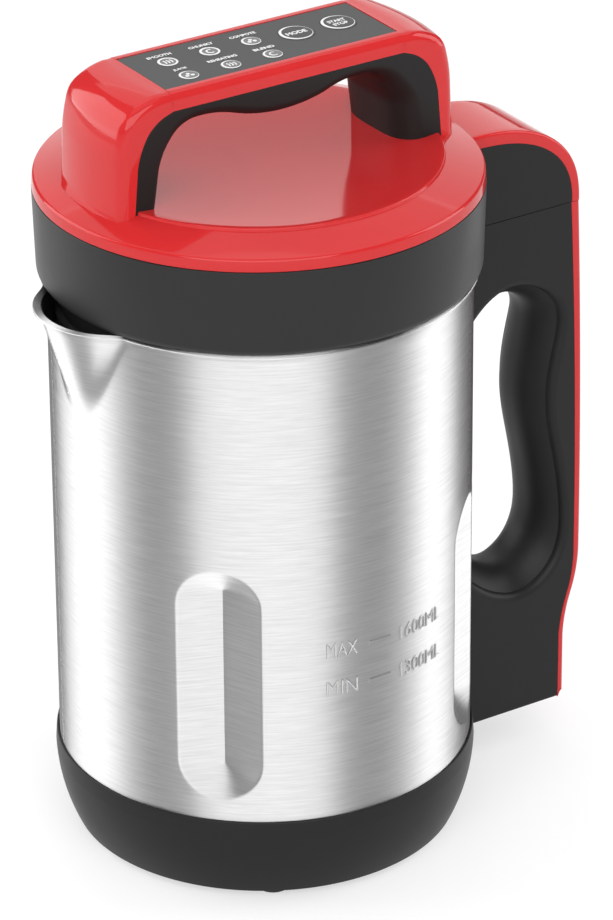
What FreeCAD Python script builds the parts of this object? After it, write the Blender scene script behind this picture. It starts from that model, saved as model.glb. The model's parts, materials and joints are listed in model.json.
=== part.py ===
import FreeCAD, Part
import math
import os
import Sketcher
from collections import namedtuple
from types import SimpleNamespace

from FreeCAD import Placement, Rotation, Vector

# A domestic soup maker: a heated steel jug with a rear handle, and a lift-off lid that carries a motor,
# a long shaft with a blade, an arched carrying handle and a control panel.
# Millimetres, +Z up. The origin is on the jug's axis at the level of the feet's soles. The rear handle
# is towards +X and the pouring lip towards -X. Levels are measured from the table.

DIMENSIONS = {
    # Steel jug
    "jug_radius": 79.0,
    "jug_wall": 1.0,
    "jug_bottom": 22.5,
    "jug_rim": 229.0,
    "floor_corner": 4.0,
    "rim_flange": 2.3,
    "spout_axis": 74.0,
    "spout_reach": 19.0,
    "spout_foot": 178.5,
    "spout_lift": 2.7,
    "recess_apex": 71.0,
    "recess_depth": 10.0,
    "recess_half": 26.9,
    "recess_step": 1.07,
    "recess_low": 68.4,
    "recess_high": 118.4,
    # Heated base
    "cup_bottom": 3.4,
    "cup_top": 36.8,
    "cup_foot": 73.8,
    "cup_belly": 80.5,
    "belly_level": 31.0,
    "cup_radius": 80.1,
    "cup_bore": 79.3,
    "bore_foot": 25.0,
    "shelf_edge": 77.2,
    "shelf_top": 22.2,
    "shelf_foot": 20.0,
    "shelf_root": 75.8,
    "shelf_bore": 70.0,
    "cover_radius": 71.0,
    "cover_thick": 2.4,
    "foot_radius": 7.0,
    "foot_bevel": 1.0,
    "foot_ring": 63.5,
    "post_ring": 69.0,
    "post_radius": 3.8,
    "post_bore_top": 15.0,
    "base_screw": 1.45,
    "base_screw_tip": 14.0,
    "base_screw_head": 1.6,
    # Heater under the jug
    "spreader_radius": 62.0,
    "spreader_thick": 4.0,
    "element_ring": 48.0,
    "element_radius": 3.4,
    "element_level": 15.1,
    "cold_end": 2.6,
    "cold_end_reach": 54.0,
    "terminal_reach": 62.0,
    "terminal_half": 3.0,
    "terminal_thick": 0.8,
    "thermostat_place": 24.0,
    "thermostat_radius": 8.0,
    "thermostat_height": 6.0,
    "ear_place": 5.0,
    "ear_half": 3.0,
    "ear_thick": 0.8,
    "ear_length": 5.0,
    "fuse_place": 22.0,
    "fuse_radius": 2.6,
    "fuse_half": 12.0,
    "fuse_drop": 4.0,
    "clamp_half_width": 4.0,
    "clamp_half_length": 5.0,
    "clamp_height": 7.0,
    "lead_level": 17.9,
    "lead_radius": 1.8,
    "lead_start": 66.0,
    "lead_end": 92.0,
    # Rear handle
    "handle_width": 36.0,
    "handle_room": 30.4,
    "handle_wall": 2.8,
    "handle_front": 70.0,
    "handle_top": 228.2,
    "handle_foot": 14.8,
    "back_foot_inner": 125.8,
    "back_foot_outer": 128.7,
    "back_top_inner": 128.3,
    "back_top_outer": 132.5,
    "grip_width": 31.0,
    "room_front": 84.0,
    "high_room_foot": 204.7,
    "low_room_top": 60.2,
    "duct_width": 9.0,
    "cable_width": 7.0,
    "bracket_half": 6.0,
    "bracket_thick": 2.5,
    "bracket_end": 100.0,
    "bracket_high": 207.2,
    "bracket_low": 46.2,
    "screw_place": 93.0,
    "handle_screw": 1.9,
    "screw_head": 2.0,
    "high_screw_tip": 200.7,
    "low_screw_tip": 56.2,
    "boss_radius": 4.56,
    # Mains inlet in the handle's foot
    "inlet_half": 14.0,
    "inlet_low": 20.5,
    "inlet_high": 42.0,
    "inlet_front": 109.7,
    "inlet_back": 128.7,
    "inlet_floor": 114.7,
    "inlet_side": 2.0,
    "inlet_rim": 2.5,
    "blade_pin_foot": 112.7,
    "blade_pin_tip": 124.7,
    "blade_pin_half": 1.0,
    "blade_pin_rise": 2.0,
    # Contacts between handle and lid
    "socket_half": 11.0,
    "socket_front": 95.0,
    "socket_back": 119.0,
    "socket_foot": 212.2,
    "well_radius": 2.7,
    "well_foot": 215.2,
    "sleeve_wall": 0.3,
    "contact_low": 215.7,
    "contact_high": 220.7,
    "plug_half": 9.8,
    "plug_front": 97.2,
    "plug_back": 116.8,
    "plug_top": 238.0,
    "pin_radius": 2.0,
    "pin_step": 6.0,
    "pin_place": 107.0,
    "pin_tip": 217.2,
    "pin_head": 235.0,
    # Lid shells
    "lid_seat": 229.4,
    "lid_edge": 263.2,
    "collar_foot": 82.45,
    "collar_head": 83.6,
    "collar_round": 4.0,
    "lid_wall": 2.6,
    "plug_radius": 75.5,
    "plug_floor": 211.0,
    "plug_floor_thick": 2.5,
    "housing_bore": 15.0,
    "cover_rim": 268.0,
    "rim_round": 1.2,
    "lip_foot": 256.5,
    "lip_thick": 1.2,
    "lip_room": 0.5,
    "crown_radius": 68.0,
    "crown_edge": 273.6,
    "crown_dish": 270.0,
    "crown_flat": 2.0,
    "cover_skin": 2.4,
    "under_foot": 207.6,
    "under_sheet": 1.0,
    "under_radius": 75.4,
    "under_bevel": 1.2,
    "probe_place": 48.0,
    "probe_radius": 2.0,
    "probe_head": 4.0,
    "probe_tip": 186.0,
    "probe_top": 210.4,
    "seal_foot": 213.0,
    "seal_root": 0.8,
    "seal_reach": 2.0,
    "seal_top": 219.5,
    # Carrying arch on the lid
    "arch_width": 43.4,
    "arch_foot": 258.0,
    "arch_end_foot": 74.9,
    "arch_end_head": 72.5,
    "arch_top": 315.6,
    "arch_skin": 308.8,
    "leg_round": 39.0,
    "leg_round_place": 88.5,
    "arch_window_length": 46.5,
    "arch_window_width": 14.5,
    "ribbon_width": 10.0,
    "ribbon_duct": 12.4,
    "ribbon_slot_near": 59.6,
    "ribbon_slot_far": 64.8,
    "ribbon_slot_half": 6.4,
    # Control panel
    "panel_half_length": 49.3,
    "panel_half_width": 16.9,
    "panel_thick": 1.6,
    "panel_top": 315.4,
    "panel_room": 0.2,
    "button_radius": 6.6,
    "button_gap": 0.35,
    "button_rise": 0.3,
    "button_foot": 312.2,
    "flange_reach": 1.0,
    "flange_thick": 1.1,
    "mode_place": 18.2,
    "start_place": 36.4,
    "button_row": 2.2,
    "lens_radius": 3.4,
    "lens_rise": 0.1,
    "lens_depth": 1.0,
    "lens_first": -35.1,
    "lens_step": 17.75,
    "lens_row_back": 4.6,
    "lens_row_front": -10.0,
    "lamp_radius": 1.5,
    "switch_half": 3.0,
    "switch_top": 311.0,
    "board_thick": 1.6,
    "key_board_length": 45.0,
    "key_board_width": 12.8,
    # Rear block of the lid
    "block_width": 36.0,
    "block_foot": 228.6,
    "block_front": 70.0,
    "block_start": 82.9,
    "block_wall": 2.6,
    "cap_length": 49.6,
    "cap_height": 37.0,
    "block_length": 45.7,
    "block_height": 32.0,
    # Motor
    "motor_radius": 26.0,
    "motor_bore": 24.5,
    "motor_top": 255.0,
    "motor_plate": 2.0,
    "motor_screw": 1.45,
    "motor_screw_head": 2.8,
    "motor_screw_place": 19.0,
    "magnet_bore": 20.0,
    "magnet_rise": 8.0,
    "magnet_drop": 10.0,
    "end_cap_thick": 4.0,
    "brush_near": 9.0,
    "brush_far": 15.0,
    "brush_half": 2.5,
    "brush_height": 4.0,
    "bearing_radius": 6.0,
    "bearing_height": 6.0,
    "bearing_rise": 2.0,
    "upper_bearing_height": 5.0,
    "rotor_radius": 18.6,
    "stack_rise": 11.0,
    "stack_drop": 14.0,
    "winding_radius": 16.6,
    "winding_rise": 8.5,
    "winding_drop": 11.0,
    "commutator_radius": 8.4,
    "commutator_low": 245.0,
    "commutator_high": 250.5,
    # Fan on top of the motor
    "fan_foot": 258.5,
    "fan_top": 265.4,
    "fan_hub": 6.0,
    "fan_radius": 23.0,
    "fan_plate": 1.2,
    "vane_near": 5.0,
    "vane_far": 22.0,
    "vane_half": 0.6,
    "vane_top": 265.0,
    # Shaft, tube and blade
    "shaft_radius": 2.5,
    "shaft_room": 2.55,
    "shaft_tip": 39.0,
    "shaft_head": 266.4,
    "tube_radius": 11.0,
    "tube_bore": 9.8,
    "tube_foot": 70.0,
    "tube_top": 210.2,
    "tube_flange": 14.5,
    "bushing_top": 82.0,
    "shaft_seal_low": 84.0,
    "shaft_seal_high": 88.0,
    "guard_radius": 31.0,
    "guard_shoulder": 20.0,
    "guard_wall": 1.2,
    "guard_foot": 37.0,
    "guard_bend": 60.0,
    "guard_shoulder_top": 70.0,
    "guard_top": 72.0,
    "guard_collar_top": 82.0,
    "window_half": 14.0,
    "window_low": 42.0,
    "window_high": 58.0,
    "blade_level": 46.0,
    "blade_reach": 23.0,
    "blade_hub": 7.0,
    "hub_drop": 3.0,
    "hub_rise": 4.0,
    "wing_root": 4.0,
    "wing_half": 3.6,
    "wing_thick": 1.6,
    "nut_radius": 5.0,
    "nut_height": 4.5,
    # Electrics in the lid
    "power_board_low": 219.0,
    "power_board_near": 32.0,
    "power_board_far": 66.0,
    "power_board_half": 24.0,
    "relay_top": 243.0,
    "capacitor_radius": 6.0,
    "capacitor_top": 238.0,
    "board_post": 2.5,
    "wire_radius": 2.0,
    "wire_side": 9.0,
    "wire_level": 240.2,
    "wire_start": 57.0,
    "wire_end": 110.0,
}

FULL_TURN = 360.0
RECESS_ANGLES = (46.0, 134.0, 226.0, 314.0)
FOOT_ANGLES = (0.0, 120.0, 240.0)
POST_ANGLES = (60.0, 180.0, 300.0)
WINDOW_ANGLES = (0.0, 90.0, 180.0, 270.0)
WING_ANGLES = (0.0, 90.0, 180.0, 270.0)
VANE_ANGLES = (0.0, 45.0, 90.0, 135.0, 180.0, 225.0, 270.0, 315.0)
MAGNET_ANGLES = (15.0, 195.0)
MAGNET_SWEEP = 150.0
ELEMENT_SWEEP = 300.0
WING_TILT = 18.0

# Levels and places outside the whole object, for cuts that go right through a piece.
BELOW_ALL = -10.0
ABOVE_ALL = 340.0
BEHIND_ALL = 150.0

# Between two pieces: room beside a fixed one and round a moving one, and the bite of two joined stretches.
HAIR = 0.1
ROOM = 0.3
BITE = 0.2

doc = FreeCAD.newDocument("soup_maker")
sheet = doc.addObject("Spreadsheet::Sheet", "dims")
nodes = []


class Size:
    """A length that knows its value and the sheet expression it comes from."""

    def __init__(self, value, text):
        self.value = value
        self.text = text

    def joined(self, value, left, sign, right):
        return Size(value, f"({text_of(left)} {sign} {text_of(right)})")

    def __add__(self, other):
        return self.joined(self.value + value_of(other), self, "+", other)

    def __radd__(self, other):
        return self.joined(value_of(other) + self.value, other, "+", self)

    def __sub__(self, other):
        return self.joined(self.value - value_of(other), self, "-", other)

    def __rsub__(self, other):
        return self.joined(value_of(other) - self.value, other, "-", self)

    def __mul__(self, other):
        return self.joined(self.value * value_of(other), self, "*", other)

    def __rmul__(self, other):
        return self.joined(value_of(other) * self.value, other, "*", self)

    def __truediv__(self, other):
        return self.joined(self.value / value_of(other), self, "/", other)

    def __neg__(self):
        return self.joined(-self.value, 0, "-", self)


def value_of(size):
    return size.value if isinstance(size, Size) else float(size)


def text_of(size):
    return size.text if isinstance(size, Size) else f"{size:.6g}"


def fill_sheet():
    """Write the driving dimensions to the sheet and give them back by name."""
    sizes = {}
    for row, (alias, value) in enumerate(DIMENSIONS.items(), start=1):
        sheet.set(f"A{row}", alias)
        sheet.set(f"B{row}", str(value))
        sheet.setAlias(f"B{row}", alias)
        sizes[alias] = Size(value, f"dims.{alias}")
    doc.recompute()
    return SimpleNamespace(**sizes)


d = fill_sheet()

# A round stretch of an outline: from the point before it, through mid, to end.
Arc = namedtuple("Arc", "mid end")


def bind(piece, prop, size):
    """Set a property, tied to the sheet where the size comes from there."""
    if isinstance(size, Size):
        piece.setExpression(prop, size.text)
    else:
        setattr(piece, prop, size)


def place(piece, x, y, z, turn=Rotation()):
    """Put a piece at x, y, z with a turn, tied to the sheet where the sizes come from there."""
    piece.Placement = Placement(Vector(value_of(x), value_of(y), value_of(z)), turn)
    for axis, size in zip("xyz", (x, y, z)):
        if isinstance(size, Size):
            piece.setExpression(f"Placement.Base.{axis}", size.text)
    return piece


def turned(piece, angle):
    """A piece swung about the jug's axis."""
    swung = doc.addObject("Part::Compound", "swung")
    swung.Links = [piece]
    swung.Placement = Placement(Vector(), Rotation(Vector(0, 0, 1), angle))
    return swung


def flat_point(point):
    return Vector(value_of(point[0]), value_of(point[1]), 0)


def draw(sketch, outline):
    """Draw a closed outline of points and arcs, and hold every corner by its two distances."""
    edges = []
    start = flat_point(outline[0])
    for step in outline[1:] + outline[:1]:
        end = step.end if isinstance(step, Arc) else step
        finish = flat_point(end)
        if isinstance(step, Arc):
            mid = flat_point(step.mid)
            turns_left = (mid - start).cross(finish - start).z > 0
            first = 1 if turns_left else 2
            curve = Part.Arc(start, mid, finish) if turns_left else Part.Arc(finish, mid, start)
            number = sketch.addGeometry(curve, False)
            sketch.addConstraint(Sketcher.Constraint("Radius", number, sketch.Geometry[number].Radius))
        else:
            first = 1
            number = sketch.addGeometry(Part.LineSegment(start, finish), False)
        edges.append((number, first, 3 - first, end))
        start = finish
    for here, after in zip(edges, edges[1:] + edges[:1]):
        sketch.addConstraint(Sketcher.Constraint("Coincident", here[0], here[2], after[0], after[1]))
    for number, _, last, end in edges:
        for kind, size in zip(("DistanceX", "DistanceY"), end):
            held = sketch.addConstraint(Sketcher.Constraint(kind, -1, 1, number, last, value_of(size)))
            if isinstance(size, Size):
                sketch.setExpression(f"Constraints[{held}]", size.text)


def sketch_in(body, outline, role="XZ_Plane"):
    """A sketch on one of a body's own origin planes."""
    sketch = body.newObject("Sketcher::SketchObject", "outline")
    plane = [feature for feature in body.Origin.OriginFeatures if feature.Role == role][0]
    sketch.AttachmentSupport = [(plane, "")]
    sketch.MapMode = "FlatFace"
    draw(sketch, outline)
    return sketch


def revolved(name, outline):
    """A body turned about the jug's axis from an outline of radius and height."""
    body = doc.addObject("PartDesign::Body", name)
    sketch = sketch_in(body, outline)
    turn = body.newObject("PartDesign::Revolution", "turn")
    turn.Profile = sketch
    turn.ReferenceAxis = (sketch, ["V_Axis"])
    turn.Angle = FULL_TURN
    return body


def padded(name, outline, width, role="XZ_Plane"):
    """A body of one width, centred on the plane of its outline."""
    body = doc.addObject("PartDesign::Body", name)
    pad = body.newObject("PartDesign::Pad", "pad")
    pad.Profile = sketch_in(body, outline, role)
    pad.SideType = "Symmetric"
    bind(pad, "Length", width)
    return body


def pocketed(body, outline, width):
    """Cut an outline out of a body, over one width centred on the outline's plane."""
    doc.recompute()
    before = body.Shape.Volume
    pocket = body.newObject("PartDesign::Pocket", "pocket")
    pocket.Profile = sketch_in(body, outline)
    pocket.SideType = "Symmetric"
    bind(pocket, "Length", width)
    doc.recompute()
    if body.Shape.Volume >= before:
        raise RuntimeError(f"{body.Name}: a pocket cut nothing")
    return body


ALONG = {
    "X": Rotation(Vector(0, 1, 0), 90),
    "Y": Rotation(Vector(1, 0, 0), -90),
    "Z": Rotation(),
}


def rod(radius, low, high, x=0, y=0, z=0, along="Z"):
    """A round bar from low to high along one axis. The other two coordinates are its centre line."""
    bar = doc.addObject("Part::Cylinder", "rod")
    bind(bar, "Radius", radius)
    bind(bar, "Height", high - low)
    start = {"X": (low, y, z), "Y": (x, low, z), "Z": (x, y, low)}[along]
    return place(bar, *start, ALONG[along])


def cone(low_radius, high_radius, height, start, along="Z"):
    piece = doc.addObject("Part::Cone", "cone")
    bind(piece, "Radius1", low_radius)
    bind(piece, "Radius2", high_radius)
    bind(piece, "Height", height)
    return place(piece, *start, ALONG[along])


def box(x, y, z):
    """A block between two limits on each axis."""
    block = doc.addObject("Part::Box", "box")
    for prop, (low, high) in zip(("Length", "Width", "Height"), (x, y, z)):
        bind(block, prop, high - low)
    return place(block, x[0], y[0], z[0])


def about(middle, half):
    """The two limits of a width about its middle."""
    return (middle - half, middle + half)


def across(half):
    """The two limits of a width centred on the middle plane."""
    return (-half, half)


def fuse(*pieces):
    union = doc.addObject("Part::MultiFuse", "union")
    union.Shapes = list(pieces)
    return union


def cut(base, *tools):
    result = doc.addObject("Part::Cut", "cut")
    result.Base = base
    result.Tool = tools[0] if len(tools) == 1 else fuse(*tools)
    return result


def common(first, second):
    result = doc.addObject("Part::Common", "common")
    result.Base = first
    result.Tool = second
    return result


def group(*pieces):
    """Separate solids that belong to one node."""
    result = doc.addObject("Part::Compound", "group")
    result.Links = list(pieces)
    return result


def tube(outer, inner, low, high, x=0, y=0):
    return cut(rod(outer, low, high, x, y), rod(inner, low - BITE, high + BITE, x, y))


def solid(shape):
    """A shape worked out from the sheet's values, as an object of the document."""
    piece = doc.addObject("Part::Feature", "shape")
    piece.Shape = shape
    return piece


def reversed_outline(outline):
    """The same open line, drawn from its end to its start."""
    places = [step.end if isinstance(step, Arc) else step for step in outline]
    back = [places[-1]]
    for step, before in zip(reversed(outline), list(reversed(places))[1:]):
        back.append(Arc(step.mid, before) if isinstance(step, Arc) else before)
    return back


def node(name, piece):
    piece.Label = name
    nodes.append((name, piece))


def floor_bend(centre_x, centre_z, radius):
    """The quarter round from a floor to a wall."""
    slant = radius * math.sqrt(0.5)
    return Arc((centre_x + slant, centre_z - slant), (centre_x + radius, centre_z))


def recess_tool(apex, angle):
    """A V-shaped hollow with conical ends, pointing at the jug's axis."""
    outer = apex + d.recess_depth
    ridge = doc.addObject("Part::Wedge", "ridge")
    limits = {
        "Xmin": -d.recess_half, "Xmax": d.recess_half, "X2min": 0, "X2max": 0,
        "Ymin": 0, "Ymax": d.recess_depth,
        "Zmin": d.recess_low, "Zmax": d.recess_high, "Z2min": d.recess_low, "Z2max": d.recess_high,
    }
    for prop, size in limits.items():
        bind(ridge, prop, size)
    place(ridge, outer, 0, 0, Rotation(Vector(0, 0, 1), 90))
    ends = [cone(0, d.recess_half, d.recess_depth, (apex, 0, level), "X")
            for level in (d.recess_low, d.recess_high)]
    return turned(fuse(ridge, *ends), angle)


def jug_shell():
    flat = d.jug_radius - d.floor_corner
    bend = d.jug_bottom + d.floor_corner
    flange = d.jug_radius + d.rim_flange
    flange_foot = d.jug_rim - d.jug_wall
    above = d.jug_rim + d.jug_wall
    blank = revolved("jug_blank", [
        (0, d.jug_bottom), (flat, d.jug_bottom), floor_bend(flat, bend, d.floor_corner),
        (d.jug_radius, flange_foot), (flange, flange_foot), (flange, d.jug_rim), (0, d.jug_rim)])
    room = revolved("jug_room", [
        (0, d.jug_bottom + d.jug_wall), (flat, d.jug_bottom + d.jug_wall),
        floor_bend(flat, bend, d.floor_corner - d.jug_wall),
        (d.jug_radius - d.jug_wall, above), (0, above)])
    height = d.jug_rim - d.spout_foot
    lip = cone(0, d.spout_reach, height, (-d.spout_axis, 0, d.spout_foot))
    mouth = cone(0, d.spout_reach, height, (-d.spout_axis, 0, d.spout_foot + d.spout_lift))
    dents = [recess_tool(d.recess_apex, angle) for angle in RECESS_ANGLES]
    bulges = [recess_tool(d.recess_apex - d.recess_step, angle) for angle in RECESS_ANGLES]
    node("jug_shell", cut(cut(fuse(blank, lip), *dents), cut(fuse(room, mouth), *bulges)))


def heated_base():
    bottom = d.cup_bottom
    cover_top = bottom + d.cover_thick
    cover_room = d.cover_radius + ROOM
    cup = revolved("cup_blank", [
        (d.cup_foot, bottom), Arc((78.7, 17.5), (d.cup_belly, d.belly_level)), (d.cup_radius, d.cup_top),
        (d.cup_bore, d.cup_top), (d.cup_bore, d.bore_foot), (d.shelf_edge, d.shelf_top),
        (d.shelf_bore, d.shelf_top), (d.shelf_bore, d.shelf_foot), (d.shelf_root, d.shelf_foot),
        (cover_room, cover_top), (cover_room, bottom)])
    posts = []
    bores = []
    screws = []
    cover_holes = []
    for angle in POST_ANGLES:
        posts.append(turned(rod(d.post_radius, cover_top + HAIR, d.shelf_foot + BITE, d.post_ring), angle))
        bores.append(turned(rod(d.base_screw, bottom, d.post_bore_top, d.post_ring), angle))
        cover_holes.append(turned(rod(d.base_screw + ROOM, BELOW_ALL, d.shelf_foot, d.post_ring), angle))
        shank = rod(d.base_screw, bottom - BITE, d.base_screw_tip, d.post_ring)
        head = rod(2 * d.base_screw, bottom - d.base_screw_head, bottom, d.post_ring)
        screws.append(turned(fuse(shank, head), angle))
    node("base_cup", cut(fuse(cup, *posts), *bores, lead_port()))
    cover = rod(d.cover_radius, bottom, cover_top)
    node("base_cover", cut(cover, *cover_holes))
    node("base_screws", group(*screws))
    pads = []
    for angle in FOOT_ANGLES:
        sole = rod(d.foot_radius - d.foot_bevel, 0, bottom, d.foot_ring)
        bulk = rod(d.foot_radius, d.foot_bevel, bottom, d.foot_ring)
        pads.append(turned(fuse(sole, bulk), angle))
    node("foot_pads", group(*pads))


def lead_port():
    """The hole that the heater's leads take from the base into the handle."""
    return rod(d.lead_radius + HAIR, d.element_ring, d.lead_end, 0, 0, d.lead_level, "X")


def heater():
    under = d.jug_bottom - d.spreader_thick
    level = d.element_level
    node("heat_spreader", rod(d.spreader_radius, under, d.jug_bottom))
    half_gap = (FULL_TURN - ELEMENT_SWEEP) / 2
    ring = doc.addObject("Part::Torus", "ring")
    bind(ring, "Radius1", d.element_ring)
    bind(ring, "Radius2", d.element_radius)
    ring.Angle3 = ELEMENT_SWEEP
    place(ring, 0, 0, level, Rotation(Vector(0, 0, 1), half_gap))
    end_x = d.element_ring * math.cos(math.radians(half_gap))
    ends = []
    tabs = []
    for side in (-1, 1):
        end_y = d.element_ring * (side * math.sin(math.radians(half_gap)))
        ends.append(rod(d.cold_end, end_x - d.cold_end, d.cold_end_reach, 0, end_y, level, "X"))
        tabs.append(box((d.cold_end_reach, d.terminal_reach), about(end_y, d.terminal_half),
                        about(level, d.terminal_thick / 2)))
    node("heating_element", fuse(ring, *ends))
    node("element_terminals", group(*tabs))
    can_foot = under - d.thermostat_height
    can = rod(d.thermostat_radius, can_foot, under, d.thermostat_place)
    ears = [box(about(d.thermostat_place + d.ear_place * side, d.ear_half), about(0, d.ear_thick / 2),
                (can_foot - d.ear_length, can_foot + HAIR)) for side in (-1, 1)]
    node("thermostat", fuse(can, *ears))
    capsule = rod(d.fuse_radius, -d.fuse_half, d.fuse_half, -d.fuse_place, 0, under - d.fuse_drop, "Y")
    clamp = box(about(-d.fuse_place, d.clamp_half_width), about(0, d.clamp_half_length),
                (under - d.clamp_height, under))
    node("thermal_fuse", fuse(capsule, clamp))
    node("base_leads", rod(d.lead_radius, d.lead_start, d.lead_end, 0, 0, d.lead_level, "X"))


# The handle's two back lines between its foot and its top: the red strip lies between them.
BACK_INNER = [(125.8, 43.0), Arc((127.0, 51.5), (129.4, 60.3)), Arc((131.3, 67.6), (132.3, 80.0)),
              Arc((131.4, 152.0), (d.back_top_inner, d.handle_top))]
BACK_OUTER = [(128.7, 42.5), Arc((129.8, 51.5), (132.1, 60.0)), Arc((134.2, 67.4), (135.6, 80.0)),
              Arc((135.0, 150.0), (d.back_top_outer, d.handle_top))]

# The finger opening seen from the side: on the handle's side faces, and on its middle plane.
OPENING_SIDE = [(74.0, 174.0), (82.7, 188.2), (97.4, 199.2), (112.1, 197.7), (123.8, 185.4), (122.4, 166.9),
                (119.6, 144.5), (123.0, 123.6), (126.7, 99.7), (122.6, 76.2), (108.3, 66.9), (89.5, 74.0),
                (74.0, 93.5)]
OPENING_MIDDLE = [(74.0, 168.5), (84.6, 183.2), (97.6, 193.3), (109.6, 192.3), (118.6, 182.6), (117.6, 166.6),
                  (114.9, 144.4), (118.2, 123.0), (121.9, 100.2), (118.6, 81.2), (107.4, 72.8), (91.2, 79.2),
                  (74.0, 99.0)]

# The duct down the handle's back, open towards the strip, and the cable that lies in it.
DUCT = [(122.4, 52.5), (127.6, 74.0), (129.1, 82.0), (128.3, 150.0), (125.0, 206.0), (BEHIND_ALL, 206.0),
        (BEHIND_ALL, 52.5)]
CABLE = [(116.0, 45.0), (124.4, 55.5), (129.8, 82.0), (129.0, 150.0), (125.7, 205.0), (115.8, 212.0),
         (118.4, 212.0), (127.5, 205.6), (130.8, 150.3), (131.6, 82.0), (126.2, 54.6), (118.5, 45.0)]


def opening_wire(points, y):
    """A smooth closed line through the points, on one plane across the handle."""
    curve = Part.BSplineCurve()
    curve.interpolate([Vector(x, y, z) for x, z in points], PeriodicFlag=True)
    return Part.Wire(curve.toShape())


def opening_bar(width):
    """A straight bar of the finger opening's outline, over a width about the middle plane."""
    face = Part.Face(opening_wire(OPENING_SIDE, -width / 2))
    return solid(face.extrude(Vector(0, width, 0)))


def jug_clearance():
    """The space that the jug and its base take, with a hair of room."""
    return fuse(rod(d.jug_radius + HAIR, BELOW_ALL, d.lid_seat),
                rod(d.jug_radius + d.rim_flange + HAIR, d.jug_rim - d.jug_wall - HAIR, d.lid_seat),
                rod(d.cup_belly + BITE, BELOW_ALL, d.cup_top + HAIR))


def handle():
    width = d.handle_width
    top = d.handle_top
    foot = d.handle_foot
    front = d.handle_front
    shell = padded("handle_blank", [
        (front, foot), (d.back_foot_inner, foot), *BACK_INNER, (front, top)], width)
    for low, high in ((d.high_room_foot, top - d.handle_wall), (foot + d.handle_wall, d.low_room_top)):
        pocketed(shell, [(d.room_front, low), (BEHIND_ALL, low), (BEHIND_ALL, high), (d.room_front, high)],
                 d.handle_room)
    pocketed(shell, DUCT, d.duct_width)
    tab = d.bracket_thick
    high = d.bracket_high
    low = d.bracket_low
    bosses = [rod(d.boss_radius, d.high_room_foot - BITE, high, d.screw_place),
              rod(d.boss_radius, low + tab, d.low_room_top + BITE, d.screw_place)]
    slots = [box((front, d.room_front + d.handle_wall), across(d.bracket_half + ROOM),
                 (level - ROOM, level + tab + ROOM)) for level in (high, low)]
    screw_bores = [rod(d.handle_screw, d.high_screw_tip, high + tab, d.screw_place),
                   rod(d.handle_screw, low, d.low_screw_tip, d.screw_place)]
    socket_hole = box((d.socket_front, d.socket_back), across(d.socket_half),
                      (top - 2 * d.handle_wall, ABOVE_ALL))
    holes = [jug_clearance(), opening_bar(2 * width.value), *slots, *screw_bores, lead_port(), socket_hole]
    node("handle_shell", cut(fuse(shell, *bosses), *holes))

    lining = d.grip_width.value
    sections = [opening_wire(OPENING_SIDE, -lining / 2), opening_wire(OPENING_MIDDLE, 0.0),
                opening_wire(OPENING_SIDE, lining / 2)]
    waist = solid(Part.makeLoft(sections, True))
    node("handle_grip", cut(opening_bar(lining), waist, jug_clearance()))

    strip = padded("strip_blank", [
        (d.back_foot_inner, foot), (d.back_foot_outer, foot), *BACK_OUTER, *reversed_outline(BACK_INNER)],
        width)
    window = box((d.inlet_front, BEHIND_ALL), across(d.inlet_half), (d.inlet_low, d.inlet_high))
    node("handle_strip", cut(strip, window))

    tabs = []
    for level in (high, low):
        plate = box((front, d.bracket_end), across(d.bracket_half), (level, level + tab))
        screw_hole = rod(d.handle_screw + BITE, BELOW_ALL, ABOVE_ALL, d.screw_place)
        tabs.append(cut(plate, rod(d.jug_radius, BELOW_ALL, ABOVE_ALL), screw_hole))
    node("handle_brackets", group(*tabs))
    head = 2 * d.handle_screw
    upper = fuse(rod(d.handle_screw, d.high_screw_tip, high + tab, d.screw_place),
                 rod(head, high + tab, high + tab + d.screw_head, d.screw_place))
    lower = fuse(rod(d.handle_screw, low, d.low_screw_tip, d.screw_place),
                 rod(head, low - d.screw_head, low, d.screw_place))
    node("handle_screws", group(upper, lower))
    node("handle_cable", padded("cable_blank", CABLE, d.cable_width))


# The three flat pins of the mains inlet: how far from the middle plane, and above the inlet's middle.
BLADE_PINS = ((-7.0, -1.5), (0.0, 2.5), (7.0, -1.5))


def blade_pins():
    middle = (d.inlet_low + d.inlet_high) / 2
    return [box((d.blade_pin_foot, d.blade_pin_tip), about(y, d.blade_pin_half),
                about(middle + lift, d.blade_pin_rise)) for y, lift in BLADE_PINS]


def mains_entry():
    block = box((d.inlet_front, d.inlet_back), across(d.inlet_half), (d.inlet_low, d.inlet_high))
    recess = box((d.inlet_floor, BEHIND_ALL), across(d.inlet_half - d.inlet_side),
                 (d.inlet_low + d.inlet_rim, d.inlet_high - d.inlet_rim))
    node("mains_inlet", cut(block, recess, *blade_pins()))
    node("inlet_pins", group(*blade_pins()))


def contact_places():
    return [d.pin_step * step for step in (-1, 0, 1)]


def contact_pins():
    return [rod(d.pin_radius, d.pin_tip, d.pin_head, d.pin_place, y) for y in contact_places()]


def lid_connection():
    """The contacts that close when the lid is seated on the handle."""
    wells = [rod(d.well_radius, d.well_foot, ABOVE_ALL, d.pin_place, y) for y in contact_places()]
    socket = box((d.socket_front, d.socket_back), across(d.socket_half), (d.socket_foot, d.handle_top))
    node("lid_socket", cut(socket, *wells))
    sleeve_bore = d.well_radius - d.sleeve_wall
    sleeves = [tube(d.well_radius, sleeve_bore, d.contact_low, d.contact_high, d.pin_place, y)
               for y in contact_places()]
    node("socket_contacts", group(*sleeves))
    plug = box((d.plug_front, d.plug_back), across(d.plug_half), (d.block_foot, d.plug_top))
    node("lid_plug", cut(plug, *contact_pins()))
    node("plug_pins", group(*contact_pins()))


def wire_port():
    """The hole that the wires take from the rear block into the lid."""
    return rod(d.wire_radius + 2 * BITE, d.block_front, d.wire_end, 0, d.wire_side, d.wire_level, "X")


def motor_screw_places():
    return [d.motor_screw_place * side for side in (-1, 1)]


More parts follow.
